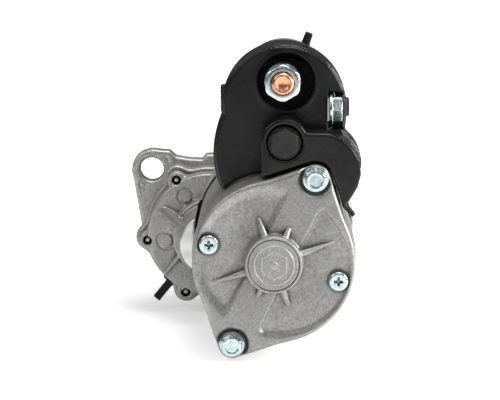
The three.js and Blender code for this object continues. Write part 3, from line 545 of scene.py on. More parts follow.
def wire(name):
    s = Shader(name, (0.4, 0.14, 0.06), 0.3, 0.35)
    strands = s.add("ShaderNodeTexWave", {"bands_direction": "Y"}, Vector=s.place, Scale=300.0).outputs["Fac"]
    s.set("Base Color", s.mix(strands, (0.20, 0.06, 0.03), (0.5, 0.2, 0.09)))
    s.bump(strands, 0.2, 0.6)
    return s.material


def laminated():
    s = Shader("lamination", (0.3, 0.31, 0.32), 0.45, 0.9)
    sheets = s.add("ShaderNodeTexWave", {"bands_direction": "Y"}, Vector=s.place, Scale=600.0).outputs["Fac"]
    s.set("Base Color", s.mix(sheets, (0.16, 0.16, 0.17), (0.36, 0.37, 0.38)))
    s.bump(sheets, 0.05, 0.6)
    return s.material


CAST = cast_aluminium("cast_aluminium", 1.0)
# Painted shade: the rear cap and its badge get a darker copy of the cast metal, so the cap's well-lit face comes out
# darker.
SHADED_CAP_CAST = cast_aluminium("cast_aluminium_cap_shaded", 0.76)
MACHINED = machined_aluminium(SHAFT)
ZINC = zinc()
PLASTIC = black_plastic()
MATTE = dull_black("black_textured", 0.016, 0.55, 0.9)
PAINT = black_paint()
STEEL = machined_steel()
COPPER = copper()
RUBBER = dull_black("rubber", 0.010, 0.75, 1.0)
BY_SLOT = {
    "cast_aluminium": CAST,
    "zinc_steel": ZINC,
    "yoke_steel": coated_steel(),
    "machined_steel": STEEL,
    "copper": COPPER,
    "bronze": plain_metal("bronze", (0.36, 0.22, 0.09), (0.52, 0.34, 0.16), 0.4),
    "carbon": dull_black("carbon", 0.02, 0.7, 0.4),
    "black_paint": PAINT,
    "black_plastic": PLASTIC,
    "bakelite": dull_black("bakelite", 0.003, 0.8, 0.8, 0.08),
    "rubber": RUBBER,
    "enamelled_wire": wire("enamelled_wire"),
    "lamination": laminated(),
}

# ---------------------------------------------------------------- rear cap and motor


def band_coordinates(x, z):
    """Distances along and across the line that joins the two through-bolts."""
    reach = math.dist(MOTOR, BOLTS[0])
    ux, uz = (BOLTS[0][0] - MOTOR[0]) / reach, (BOLTS[0][1] - MOTOR[1]) / reach
    dx, dz = x - MOTOR[0], z - MOTOR[1]
    return dx * ux + dz * uz, dx * uz - dz * ux


# Each rib's angle and reach, how far its tip stands out, and its half widths at the hub and the tip.
CAP_RIBS = [
    (19.3, 33.6, 0.7, 2.3, 0.5),
    (66.0, 19.8, 1.9, 2.2, 1.3),
    (108.8, 25.0, 1.7, 2.3, 1.1),
    (198.6, 34.0, 0.7, 2.3, 0.6),
    (244.6, 19.6, 1.9, 2.2, 1.3),
    (288.7, 24.0, 1.7, 2.3, 1.3),
]
LOW_FACE = 1.7  # how far the cap's two side faces lie below the band between the bolts


def rear_cap():
    g = Grid(*span("rear_cap"), 0.5)
    x, y, z = g.x, g.y, g.z
    off = circle(x, z, MOTOR, 0)
    outline = off - 44.2
    for bolt in BOLTS:
        outline = smooth_min(outline, eared(x, z, MOTOR, bolt, 43.6, EAR_RADIUS), 1.5)
    draft = 0.5 - (y - CAP_FACE) / (CAP_RIM - CAP_FACE)
    body = slab(outline + draft, y, CAP_FACE, CAP_RIM + 8, edge=2.1)
    along, across = band_coordinates(x, z)
    band = smooth_min(9.2 - across, 9.2 + across + 0.9, 0.1)
    low_face = smooth_max(0.45 * (np.hypot(0.92 * across, along) - 39.6), band, 2.5)
    side_wall = 0.55 * (y - CAP_FACE) + np.where(across < 0, 0.5 * (y - CAP_FACE), 0)
    body = cut(body, slab(low_face + side_wall, y, CAP_FACE - 8, CAP_FACE + LOW_FACE, 0), 0.7)
    hub = slab(off - 15.5, y, CAP_HUB + 0.4, CAP_FACE + 4, edge=0.7)
    for angle, reach, height, r0, r1 in CAP_RIBS:
        inner = polar(MOTOR, 13.5, angle)
        outer = polar(MOTOR, reach, angle)
        floor = CAP_FACE + (0 if abs(math.cos(math.radians(angle - 63.5))) > 0.9 else LOW_FACE)
        start = (inner[0], CAP_FACE - 3.6, inner[1])
        end = (outer[0], floor - height + 0.4, outer[1])
        hub = smooth_min(hub, spike(g, start, end, r0, r1), 0.4)
    body = smooth_min(body, hub, 0.6)
    body = cut(body, slab(off - 13.9, y, CAP_HUB - 3, CAP_HUB + 1.1, 0), 0.5)
    for bolt in BOLTS:
        pocket = circle(x, z, bolt, 9.7) + 0.62 * np.clip(y - CAP_FACE, 0, 3)
        body = cut(body, slab(pocket, y, CAP_FACE - 9, CAP_FACE + 3, 0.2), 0.9)
        body = cut(body, circle(x, z, bolt, 3.5), 0.5)
    for screw in BRUSH_SCREWS:
        body = cut(body, slab(circle(x, z, screw, 5.9), y, CAP_FACE - 9, CAP_FACE + LOW_FACE + 0.3, 0.2), 0.5)
        body = cut(body, slab(circle(x, z, screw, 2.9), y, CAP_FACE - 9, CAP_FACE + 9, 0.2), 0.5)
    body = cut(body, slab(off - 39.6, y, CAP_FACE + 5.5, CAP_RIM + 9, edge=2), 0.8)
    body = smooth_min(body, slab(off - 12.5, y, CAP_FACE + 3, CAP_FACE + 8.2, 0.5), 1.5)
    body = cut(body, slab(off - 8.6, y, CAP_HUB + 4, CAP_FACE + 12, 0.3), 0.5)
    body = smooth_max(body, y - CAP_RIM, 0.6)
    fit(g.piece("rear_cap_casting", body), SHADED_CAP_CAST, "cast_aluminium", "housing", "rear_cap")


def hub_badge():
    """A thin round insert in the hub with a plain pattern: a ring, a hexagon and a centre dot."""
    g = grid_round(MOTOR, 13.6, CAP_HUB, CAP_HUB + 1.2, 0.16)
    x, y, z = g.x, g.y, g.z
    off = circle(x, z, MOTOR, 0)
    base = slab(off - 13.5, y, CAP_HUB + 0.5, CAP_HUB + 1.1, 0.15)
    hexagon = np.full(1, -1e9)
    for angle in range(0, 180, 60):
        turn = math.radians(angle)
        reach = np.abs((x - MOTOR[0]) * math.cos(turn) + (z - MOTOR[1]) * math.sin(turn))
        hexagon = np.maximum(hexagon, reach)
    lines = np.minimum(np.abs(hexagon - 6.6), np.minimum(np.abs(off - 10.6), np.maximum(off - 1.6, -99)))
    pattern = slab(lines - 0.42, y, CAP_HUB + 0.12, CAP_HUB + 0.9, 0.2)
    fit(g.piece("hub_badge", smooth_min(base, pattern, 0.2)), SHADED_CAP_CAST, "cast_aluminium", "housing")


def flange_bolt(name, node, centre, seat):
    """A hexagon bolt with a round flange: only its head is drawn in full."""
    low, high = span(node)
    g = grid_round(centre, 7.2, low[1], seat + 0.4, 0.2)
    x, y, z = g.x, g.y, g.z
    off = circle(x, z, centre, 0)
    head = np.full(1, -1e9)
    for angle in range(0, 180, 60):
        turn = math.radians(angle)
        head = np.maximum(head, np.abs((x - centre[0]) * math.cos(turn) + (z - centre[1]) * math.sin(turn)) - 5)
    body = slab(head, y, low[1], seat, 0.35)
    chamfer = (off - 5.0) * 0.5 - (y - low[1]) * 0.87
    body = smooth_max(body, chamfer, 0.4)
    body = cut(body, slab(off - 3.6, y, low[1] - 2, low[1] + 0.35, 0.1), 0.4)
    skirt = slab(off - 7.0 + np.clip(seat - 0.9 - y, 0, 3) * 2.2, y, seat - 2.4, seat, 0.3)
    body = smooth_min(body, skirt, 0.5)
    fit(g.piece(name, body), ZINC, "zinc_steel", "housing", node)
    shank = [(0, seat - 1), (3, seat - 1), (3, high[1] - 1), (2.2, high[1]), (0, high[1])]
    fit(lathed(name + "_shank", shank, centre, 0.2, 32), ZINC, "zinc_steel", "housing")


def pan_screw(name, node, centre):
    """A pan-head screw with a cross recess."""
    low, high = span(node)
    g = grid_round(centre, 5.3, low[1], low[1] + 3.4, 0.16)
    x, y, z = g.x, g.y, g.z
    off = circle(x, z, centre, 0)
    head = slab(off - 5.15, y, low[1] + 0.05, low[1] + 4.4, 1.15)
    head = smooth_max(head, y - (low[1] + 3.1), 0.2)
    dx, dz = np.abs(x - centre[0]), np.abs(z - centre[1])
    depth = (y - low[1]) * 0.35
    cross = np.minimum(np.maximum(dx - 2.5 + depth, dz - 0.62), np.maximum(dz - 2.5 + depth, dx - 0.62))
    cross = smooth_min(cross, off - 1.25 + depth, 0.4)
    head = cut(head, slab(cross, y, low[1] - 3, low[1] + 2.2, 0.1), 0.25)
    fit(g.piece(name, head), ZINC, "zinc_steel", "housing", node)
    shank = [(0, low[1] + 2.9), (2, low[1] + 2.9), (2, high[1] - 0.6), (1.4, high[1]), (0, high[1])]
    fit(lathed(name + "_shank", shank, centre, 0.15, 24), ZINC, "zinc_steel", "housing")


def yoke():
    low, high = span("yoke")
    y0, y1 = low[1], high[1]
    outer, inner = (high[0] - low[0]) / 2, (high[0] - low[0]) / 2 - 5
    profile = [(inner, y0), (outer - 0.5, y0), (outer, y0 + 3.4), (outer, y1 - 3.4), (outer - 0.5, y1), (inner, y1)]
    tube = lathed("yoke_tube", profile, MOTOR, 0.6, 160)
    fit(tube, BY_SLOT["yoke_steel"], "yoke_steel", "housing", "yoke")
    for i in (1, 2, 3, 4):
        pole = axis_of(f"pole_shoe_{i}")
        angle = math.degrees(math.atan2(pole[1] - MOTOR[1], pole[0] - MOTOR[0]))
        pole_screw(f"pole_screw_{i}", angle, (y0 + y1) / 2, outer)


def pole_screw(name, angle, y, radius):
    """A countersunk screw head let into the yoke, with a hexagon socket."""
    turn = math.radians(angle)
    profile = [(0, 0.35), (4.6, 0.35), (5.6, -0.3), (5.6, -0.9), (2, -3.5), (0, -3.5)]
    piece = lathed(name, profile, (0, 0), 0.3, 48)
    socket = lathed("socket", [(0, 1.5), (2.4, 1.5), (2.4, -2.2), (0, -2.8)], (0, 0), 0.0, 6)
    carve(piece, socket)
    out = Vector((math.cos(turn), 0, math.sin(turn)))
    aim(piece, out, Vector((MOTOR[0], y, MOTOR[1])) + out * (radius + 0.1))
    fit(piece, PAINT, "yoke_steel", "housing")


def carve(piece, tool):
    """Cuts the tool out of the piece and deletes the tool."""
    modifier = piece.modifiers.new("carve", "BOOLEAN")
    modifier.operation = "DIFFERENCE"
    modifier.object = tool
    bpy.context.view_layer.update()
    result = bpy.data.meshes.new_from_object(piece.evaluated_get(bpy.context.evaluated_depsgraph_get()))
    piece.modifiers.clear()
    piece.data = result
    bpy.data.objects.remove(tool)


def seals():
    for node in ("rear_seal", "front_seal"):
        low, high = span(node)
        outer = (high[0] - low[0]) / 2
        profile = [(40.2, low[1]), (outer, low[1]), (outer, high[1]), (40.2, high[1])]
        fit(lathed(node + "_ring", profile, MOTOR, 0.4, 128), RUBBER, "rubber", "housing", node)


# ---------------------------------------------------------------- gear cover and drive housing


LOBE_DROP = 3.8  # the screw lobes' faces lie this far in front of the gear disc's
ENGRAVED_RINGS = [(-27.4, -3.6, 4.9), (-15.4, 22.8, 4.5)]


def case_plan(g, disc_radius, motor_radius):
    """The gear case in plan: the gear's disc and the motor's disc with its bolt ears."""
    flat = circle(g.x, g.z, DISC_CENTRE, disc_radius)
    flat = smooth_min(flat, circle(g.x, g.z, MOTOR, motor_radius), 3)
    for bolt in BOLTS:
        flat = smooth_min(flat, eared(g.x, g.z, MOTOR, bolt, motor_radius - 1, EAR_RADIUS), 2)
    return flat


def case_outline(g, disc_radius, motor_radius, lobe):
    """The gear case in plan with its screw lobes."""
    flat = case_plan(g, disc_radius, motor_radius)
    for screw in COVER_SCREWS:
        flat = smooth_min(flat, circle(g.x, g.z, screw, lobe), 4)
    return flat


def cover_boss(g):
    """The shaft's boss: a turned cone on a low step, a fin up its side and a short rib below."""
    boss = [(0, BOSS_FACE), (17, BOSS_FACE), (19.5, BOSS_FACE + 30), (19.5, COVER_DISC + 3), (0, COVER_DISC + 3)]
    standing = turned_field(g, SHAFT, boss) - 0.3
    step = slab(circle(g.x, g.z, SHAFT, 22.6), g.y, COVER_DISC - 9, COVER_DISC + 3, edge=1.0)
    standing = smooth_min(standing, step, 0.8)
    fin = [(8, BOSS_FACE + 3), (16, BOSS_FACE + 3), (33, COVER_DISC - 0.8), (33, COVER_DISC + 2), (8, COVER_DISC + 2)]
    standing = smooth_min(standing, web(g, 153, fin, 3.8, 0.5), 0.8)
    rib = spike(g, (-27.6, COVER_DISC, -22.6), (-18.5, COVER_DISC - 3, -11.5), 1.4, 1.6)
    standing = smooth_min(standing, rib, 0.6)
    return cut(standing, slab(circle(g.x, g.z, MOTOR, 46.2), g.y, BOSS_FACE - 9, COVER_SEAT, 0), 0.8)


def engraved(g, body, rings, face):
    """Cuts thin circles into a face that looks back along y."""
    for cx, cz, radius in rings:
        line = np.abs(circle(g.x, g.z, (cx, cz), radius)) - 0.45
        body = cut(body, slab(line, g.y, face - 3, face + 0.6, 0.1), 0.3)
    return body


def gear_cover():
    g = Grid(*span("gear_cover"), 0.5)
    x, y, z = g.x, g.y, g.z
    body = slab(case_plan(g, 36, 46), y, COVER_DISC, COVER_FRONT + 9, edge=1.2)
    lobes = slab(case_outline(g, 36, 46, 5.0), y, COVER_DISC + LOBE_DROP, COVER_FRONT + 9, edge=1.2)
    body = smooth_min(body, lobes, 1.0)
    body = smooth_min(body, cover_boss(g), 1.0)
    seat = circle(x, z, MOTOR, 46)
    for bolt in BOLTS:
        seat = smooth_min(seat, eared(x, z, MOTOR, bolt, 45, EAR_RADIUS), 2)
    body = smooth_min(body, slab(seat, y, COVER_SEAT, COVER_FRONT - 2, edge=0.7), 1.2)
    for screw in COVER_SCREWS:
        body = cut(body, circle(x, z, screw, 2.7), 0.6)
    for bolt in BOLTS:
        body = cut(body, circle(x, z, bolt, 3.5), 0.5)
    body = engraved(g, body, ENGRAVED_RINGS, COVER_DISC)
    room = smooth_min(circle(x, z, SHAFT, 32.5), circle(x, z, MOTOR, 14), 1)
    body = cut(body, slab(room, y, COVER_FRONT - 8, COVER_FRONT + 9, 0.8), 0.6)
    body = cut(body, slab(circle(x, z, MOTOR, 16), y, COVER_SEAT - 5, COVER_FRONT - 9.4, 0.4), 0.6)
    body = cut(body, slab(circle(x, z, MOTOR, 9), y, COVER_FRONT - 12, COVER_FRONT - 6, 0.2), 0.5)
    body = cut(body, slab(circle(x, z, SHAFT, 9.3), y, COVER_FRONT - 16, COVER_FRONT - 6, 0.2), 0.5)
    body = smooth_max(body, y - COVER_FRONT, 0.5)
    piece = g.piece("gear_cover_casting", body)
    fit(piece, CAST, "cast_aluminium", "housing", "gear_cover")
    piece.data.materials.append(MACHINED)
    machined_to = home((0, BOSS_FACE + 0.25, 0)).y
    for face in piece.data.polygons:
        if face.center.y < machined_to:
            face.material_index = 1


def cover_screw(i, centre):
    """The screw's dull tip ends deep in its hole."""
    low, high = span(f"cover_screw_{i}")
    tip = low[1] + 4
    profile = [(0, tip), (1.2, tip + 0.1), (2, tip + 1.2), (2, high[1]), (0, high[1])]
    piece = lathed(f"cover_screw_tip_{i}", profile, centre, 0.3, 40)
    fit(piece, STEEL, "zinc_steel", "housing", f"cover_screw_{i}")


def lever_coordinates(x, z):
    """Distances up the shift lever, from the drive shaft to the solenoid, and across it."""
    reach = math.hypot(*SOLENOID)
    ux, uz = SOLENOID[0] / reach, SOLENOID[1] / reach
    return x * ux + z * uz, x * uz - z * ux, reach


def flange_outline(x, z):
    """The mounting flange: a disc, one wide ear with shoulders, and two plain ears."""
    flat = circle(x, z, SHAFT, 39)
    for angle in FLANGE_EARS[1:]:
        flat = smooth_min(flat, eared(x, z, SHAFT, polar(SHAFT, FLANGE_CIRCLE, angle), 37, 12), 4)
    ear = polar(SHAFT, FLANGE_CIRCLE, FLANGE_EARS[0])
    shoulder = [(0, 0), (-41.0, -5), (ear[0] - 10.9, ear[1] - 1.4), (ear[0], ear[1] + 10.9), (-30.2, 45.7)]
    shoulder += [(-26.4, 45.6), (-22.6, 42.2), (-14.1, 40.7), (-5.7, 40.4), (-3.9, 43.4), (14, 43.8), (14, 0)]
    wide = smooth_min(polygon(x, z, shoulder) - 1.0, circle(x, z, ear, 12), 1)
    return smooth_min(flat, wide, 1.5)


def drive_housing():
    g = Grid(*span("drive_housing"), 0.7)
    x, y, z = g.x, g.y, g.z
    wall_rear = COVER_FRONT + 0.3
    wall = slab(case_outline(g, 38.4, 45, 7.6), y, wall_rear, wall_rear + 12, edge=2.2)
    neck = slab(circle(x, z, SHAFT, 36), y, wall_rear + 8, -10, 0.5)
    body = smooth_min(wall, neck, 2)
    body = smooth_min(body, slab(flange_outline(x, z), y, -13, 0, edge=2.0), 1.6)
    nose = [(0, -3), (30, -3), (30, 9), (29, 40), (27.5, 64), (22, NOSE_TIP - 4.5), (16, NOSE_TIP - 0.6), (0, NOSE_TIP - 0.6)]
    shell = turned_field(g, SHAFT, nose) - 0.6
    spigot = slab(circle(x, z, SHAFT, 37.5), y, -4, 8, 0.9)
    up, across, top = lever_coordinates(x, z)
    case = smooth_min(rectangle(up, across, 0, top, -14.5, 14.5), np.hypot(up - top, across) - 25.5, 9)
    lever_case = slab(case, y, wall_rear, 17, edge=4.5)
    lever_case = smooth_min(lever_case, slab(case, y, SEAT_FACE, 10, edge=1) + np.maximum(0, 70 - up), 1)
    body = smooth_min(body, lever_case, 3.5)
    body = smooth_min(body, spigot, 1.0)
    body = smooth_min(body, shell, 2.5)
    for angle in (15, 120):
        rib = [(20, 4), (36, 4), (36, 9), (29.5, 60), (20, 66)]
        body = smooth_min(body, web(g, angle, rib, 3.5, 1.2), 2)
    for angle in FLANGE_EARS:
        gusset = [(25, -1), (25, -22), (40, -22), (47, -12), (47, -1)]
        body = smooth_min(body, web(g, angle - 14, gusset, 3.5, 1.2), 2) if angle != FLANGE_EARS[0] else body
    seat = circle(x, z, SOLENOID, 27.5)
    for screw in SEAT_SCREWS:
        seat = smooth_min(seat, eared(x, z, SOLENOID, screw, 23, 6.4), 2)
    body = smooth_min(body, slab(seat, y, SEAT_FACE, -29, edge=1.2), 2)
    cover_room = slab(case_outline(g, 37.4, 47.2, 6.4), y, COVER_SEAT - 30, wall_rear, 0)
    body = cut(body, cover_room, 0.5)
    body = cut(body, chamber(g), 0.8)
    window_turn = math.radians(235)
    out = x * math.cos(window_turn) + z * math.sin(window_turn)
    wide = np.abs(z * math.cos(window_turn) - x * math.sin(window_turn)) - 26
    body = cut(body, slab(np.maximum(wide, 8 - out), y, 26, 61, 3.0), 1.4)
    body = cut(body, slab(circle(x, z, SHAFT, 10), y, 60, NOSE_TIP + 5, 0.2), 0.8)
    for angle in FLANGE_EARS:
        chamfer = np.clip(-11.8 - y, 0, 1.2) + np.clip(y + 1.2, 0, 1.2)
        body = cut(body, circle(x, z, polar(SHAFT, FLANGE_CIRCLE, angle), 7.0) - chamfer, 0.5)
    for bolt in BOLTS:
        body = cut(body, slab(circle(x, z, bolt, 3.4), y, COVER_FRONT - 5, -20, 0.2), 0.5)
    for screw in COVER_SCREWS:
        body = cut(body, slab(circle(x, z, screw, 2.5), y, COVER_FRONT - 5, -19, 0.2), 0.5)
    for screw in SEAT_SCREWS:
        body = cut(body, slab(circle(x, z, screw, 2.8), y, SEAT_FACE - 5, -28, 0.2), 0.5)
    low, high = span("drain_tube")
    drain = slab(rectangle(x, z, low[0] - 9, high[0] + 0.3, low[2] - 9, high[2] + 0.3), y, low[1] - 0.3, high[1] + 0.3, 0.2)
    body = cut(body, smooth_max(drain, 34.6 - np.hypot(x, z), 0.3), 0.5)
    body = engraved(g, body, [(-42.1, 26.2, 2.0), (-28.8, 40.5, 2.0)], -13)
    piece = g.piece("drive_housing_casting", body)
    fit(piece, CAST, "cast_aluminium", "housing", "drive_housing")


def chamber(g):
    """The room inside the drive housing: the gears', the clutch's and the lever's."""
    x, y, z = g.x, g.y, g.z
    gears = smooth_min(circle(x, z, SHAFT, 32.5), circle(x, z, MOTOR, 14), 1)
    room = slab(gears, y, COVER_FRONT - 9, -19, 0.8)
    inside = [(0, -20), (24, -20), (24, -16), (28, -16), (28, 3), (25, 7), (25, 64), (0, 64)]
    room = np.minimum(room, turned_field(g, SHAFT, inside))
    up, across, top = lever_coordinates(x, z)
    shaft_way = slab(rectangle(up, across, 62, top, -10.5, 10.5), y, SEAT_FACE - 9, 13, 1)
    fork_way = slab(rectangle(up, across, 24, 70, -10.5, 10.5), y, -14.5, 13, 1)
    round_way = slab(np.hypot(up - top, across) - 21, y, SEAT_FACE - 9, 13, 1.5)
    return np.minimum(np.minimum(room, shaft_way), np.minimum(fork_way, round_way))


def pivot_plugs():
    """The lever's pivot pin shows as a round end on each side of the lever case."""
    centre = Vector((span("lever_pivot_pin")[0] + span("lever_pivot_pin")[1]) / 2)
    reach = math.hypot(*SOLENOID)
    side = Vector((SOLENOID[1] / reach, 0, -SOLENOID[0] / reach))
    for i, way in enumerate((-1, 1)):
        profile = [(0, 0.8), (4.6, 0.8), (5.6, -0.2), (5.6, -1.6), (0, -1.6)]
        plug = lathed(f"pivot_plug_{i + 1}", profile, (0, 0), 0.4, 48)
        aim(plug, side * way, centre + side * way * 14.8)
        fit(plug, STEEL, "machined_steel", "housing")


def drain_tube():
    """A rubber elbow: a pad under the gear case and a hollow square spout."""
    low, high = span("drain_tube")
    g = Grid(low - 1, high + 1, 0.3)
    turn = math.radians(DRAIN_ANGLE)
    out = g.x * math.cos(turn) + g.z * math.sin(turn)
    across = g.z * math.cos(turn) - g.x * math.sin(turn)
    y = g.y
    middle_y = (low[1] + high[1]) / 2
    ring = np.hypot(g.x, g.z)
    pad_flat = smooth_max(np.abs(across) - 5.4, np.abs(ring - 38.4) - 2.6, 0.8)
    pad = slab(pad_flat, y, low[1], high[1], 0.9)
    spout = slab(rectangle(out, across, 39, 53.8, -2.3, 2.3), y, middle_y - 2.4, middle_y + 2.4, 0.7)
    body = smooth_min(pad, spout, 1.6)
    body = cut(body, slab(rectangle(out, across, 47, 60, -1.2, 1.2), y, middle_y - 1.3, middle_y + 1.3, 0.3), 0.3)
    fit(g.piece("drain_elbow", body), RUBBER, "rubber", "housing", "drain_tube")


# ---------------------------------------------------------------- solenoid and terminals


def solenoid_can():
    low, high = span("solenoid_case")
    rear, front = low[1], high[1]
    profile = [(22, rear), (27.6, rear), (28.6, rear + 0.8), (28.6, rear + 3.6), (28.0, rear + 4.6)]
    profile += [(28.0, front - 9), (28.5, front - 8), (28.5, front - 0.4), (28.0, front), (12.4, front)]
    profile += [(12.4, front - 4), (26.3, front - 4), (26.3, rear + 3), (22, rear + 3)]
    can = lathed("solenoid_can", profile, SOLENOID, 0.5, 160)
    fit(can, PAINT, "black_paint", "housing", "solenoid_case")
    g = Grid((low[0], front - 4, low[2]), (high[0], front, high[2]), 0.45)
    flat = circle(g.x, g.z, SOLENOID, 22)
    for screw in SEAT_SCREWS:
        flat = smooth_min(flat, eared(g.x, g.z, SOLENOID, screw, 22, 6.4), 1)
    flat = cut(flat, circle(g.x, g.z, SOLENOID, 28.3), 0.3)
    for screw in SEAT_SCREWS:
        flat = cut(flat, circle(g.x, g.z, screw, 2.9), 0.3)
    plate = slab(flat, g.y, front - 4, front - 0.1, 0.6)
    fit(g.piece("solenoid_ears", plate), PAINT, "black_paint", "housing")


def hexagon_field(x, z, centre, across_flats):
    field = np.full(1, -1e9)
    for angle in (0, 60, 120):
        turn = math.radians(angle)
        reach = np.abs((x - centre[0]) * math.cos(turn) + (z - centre[1]) * math.sin(turn))
        field = np.maximum(field, reach - across_flats / 2)
    return field


def nut(name, centre, across, y0, y1, bore, material, slot, nodes, chamfer=0.1):
    """A hexagon nut whose corners are turned off at both ends."""
    g = grid_round(centre, across / math.sqrt(3) + 1, y0, y1, 0.22)
    off = circle(g.x, g.z, centre, 0)
    body = slab(hexagon_field(g.x, g.z, centre, across), g.y, y0, y1, 0.3)
    body = smooth_max(body, off - 0.538 * across, 0.3)
    for end, way in ((y0, 1), (y1, -1)):
        body = smooth_max(body, (off - across / 2 + chamfer) * 0.5 - (g.y - end) * way * 0.87, 0.4)
    if bore:
        body = cut(body, off - bore - np.clip(y0 + 0.5 - g.y, 0, 1), 0.2)
    return fit(g.piece(name, body), material, slot, "housing", *nodes)


def lower_nut():
    """A coated hexagon nut on a round flange that nearly fills its hole in the lead hood."""
    low, high = span("motor_terminal_nut")
    g = grid_round(LOWER_STUD, 10, low[1], high[1], 0.22)
    off = circle(g.x, g.z, LOWER_STUD, 0)
    body = slab(hexagon_field(g.x, g.z, LOWER_STUD, 14.6), g.y, low[1], high[1], 0.4)
    body = smooth_max(body, (off - 7.6) * 0.5 - (g.y - low[1]) * 0.87, 0.4)
    body = smooth_min(body, slab(off - 9.2, g.y, low[1] + 2.2, high[1], 0.6), 0.4)
    piece = g.piece("lower_stud_nut", body)
    fit(piece, MATTE, "black_paint", "housing", "motor_terminal_nut")


def stud(name, node, radius, pitch, chamfer):
    """A threaded stud with a chamfered end and a plain collar inside the lid."""
    low, high = span(node)
    end, back = low[1], high[1]
    thread_to = back - 20

    def ripple(r, y, turn):
        if y < end + chamfer or y > thread_to or r < radius - 0.2:
            return 0.0
        phase = ((y / pitch) - turn / (2 * math.pi)) % 1.0
        return -0.55 * pitch * abs(phase - 0.5)

    centre = axis_of(node)
    steps = int((thread_to - end) / (pitch / 7))
    profile = [(0, end + 1.4), (radius * 0.5, end + 1.3), (radius * 0.62, end), (radius - chamfer, end)]
    profile += [(radius, end + chamfer + (thread_to - end) * i / steps) for i in range(steps)]
    profile += [(radius, back - 5), (8.4, back - 5), (8.4, back), (0, back)]
    piece = lathed(name, profile, centre, 0.0, 64, ripple)
    fit(piece, COPPER, "copper", "housing", node)


def ignition_terminal():
    """The small terminal: a hexagon screw and a washer that face sideways, on a bent blade."""
    low, high = span("ignition_screw")
    y, z = (low[1] + high[1]) / 2, (low[2] + high[2]) / 2
    head_radius = (high[2] - low[2]) / 2
    g = Grid(low, high, 0.2)
    off = np.hypot(g.y - y, g.z - z)
    hexagon = np.full(1, -1e9)
    for angle in (30, 90, 150):
        turn = math.radians(angle)
        reach = np.abs((g.y - y) * math.cos(turn) + (g.z - z) * math.sin(turn))
        hexagon = np.maximum(hexagon, reach - (head_radius - 0.7) * 0.866)
    body = slab(hexagon, g.x, low[0] + 1.2, high[0], 0.3)
    body = smooth_max(body, (off - (head_radius - 0.7) * 0.87) * 0.5 + (g.x - high[0]) * 0.87, 0.4)
    body = smooth_min(body, slab(off - head_radius + 0.1, g.x, low[0], low[0] + 1.5, 0.25), 0.2)
    fit(g.piece("ignition_screw_head", body), ZINC, "zinc_steel", "housing", "ignition_screw")


def washer(name, node, inner, outer):
    low, high = span(node)
    profile = [(inner, low[1]), (outer, low[1]), (outer, high[1]), (inner, high[1])]
    fit(lathed(name, profile, axis_of(node), 0.3, 80), ZINC, "zinc_steel", "housing", node)


def seat_screw(i, centre):
    low, high = span(f"solenoid_screw_{i}")
    nut(f"solenoid_bolt_head_{i}", centre, 8, low[1], low[1] + 3.9, 0, ZINC, "zinc_steel", [f"solenoid_screw_{i}"])
    shank = [(0, low[1] + 3.5), (2.5, low[1] + 3.5), (2.5, high[1]), (0, high[1])]
    fit(lathed(f"solenoid_bolt_shank_{i}", shank, centre, 0.2, 24), ZINC, "zinc_steel", "housing")


# ---------------------------------------------------------------- plastic hoods


def cap_shadow(x, z, margin):
    """The rear cap's outline with its ears, grown by a margin."""
    flat = circle(x, z, MOTOR, 44.7 + margin)
    for bolt in BOLTS:
        flat = np.minimum(flat, eared(x, z, MOTOR, bolt, 44.1 + margin, EAR_RADIUS + margin))
    return flat


def hood_outline(u, v):
    """The terminal hood about the solenoid's axis: a round top and a skirt that swells to both sides."""
    top = np.hypot(u - 0.2, v - 1.1) - 34.1
    left = np.hypot(u - 11.7, v + 24) - 50
    left = smooth_max(left, rectangle(u, v, -60, 20, -52, -3), 1)
    right = smooth_min(np.hypot(u - 22.6, v + 30.3) - 20, rectangle(u, v, 0, 33.4, -30, -2), 3)
    return smooth_min(smooth_min(top, left, 1.0), right, 2.5)


def vent_post(u, v, y):
    """A short leaning peg on top of the hood, a little wider at its foot."""
    turn = math.radians(19.5)
    up = (u - 12.0) * math.sin(turn) + (v - 33.6) * math.cos(turn)
    side = (u - 12.0) * math.cos(turn) - (v - 33.6) * math.sin(turn)
    width = 2.4 - 0.04 * np.clip(up, 0, 9)
    return slab(smooth_max(np.abs(side) - width, np.abs(up - 2) - 4.6, 0.5), y, -143, -137.5, 0.5)


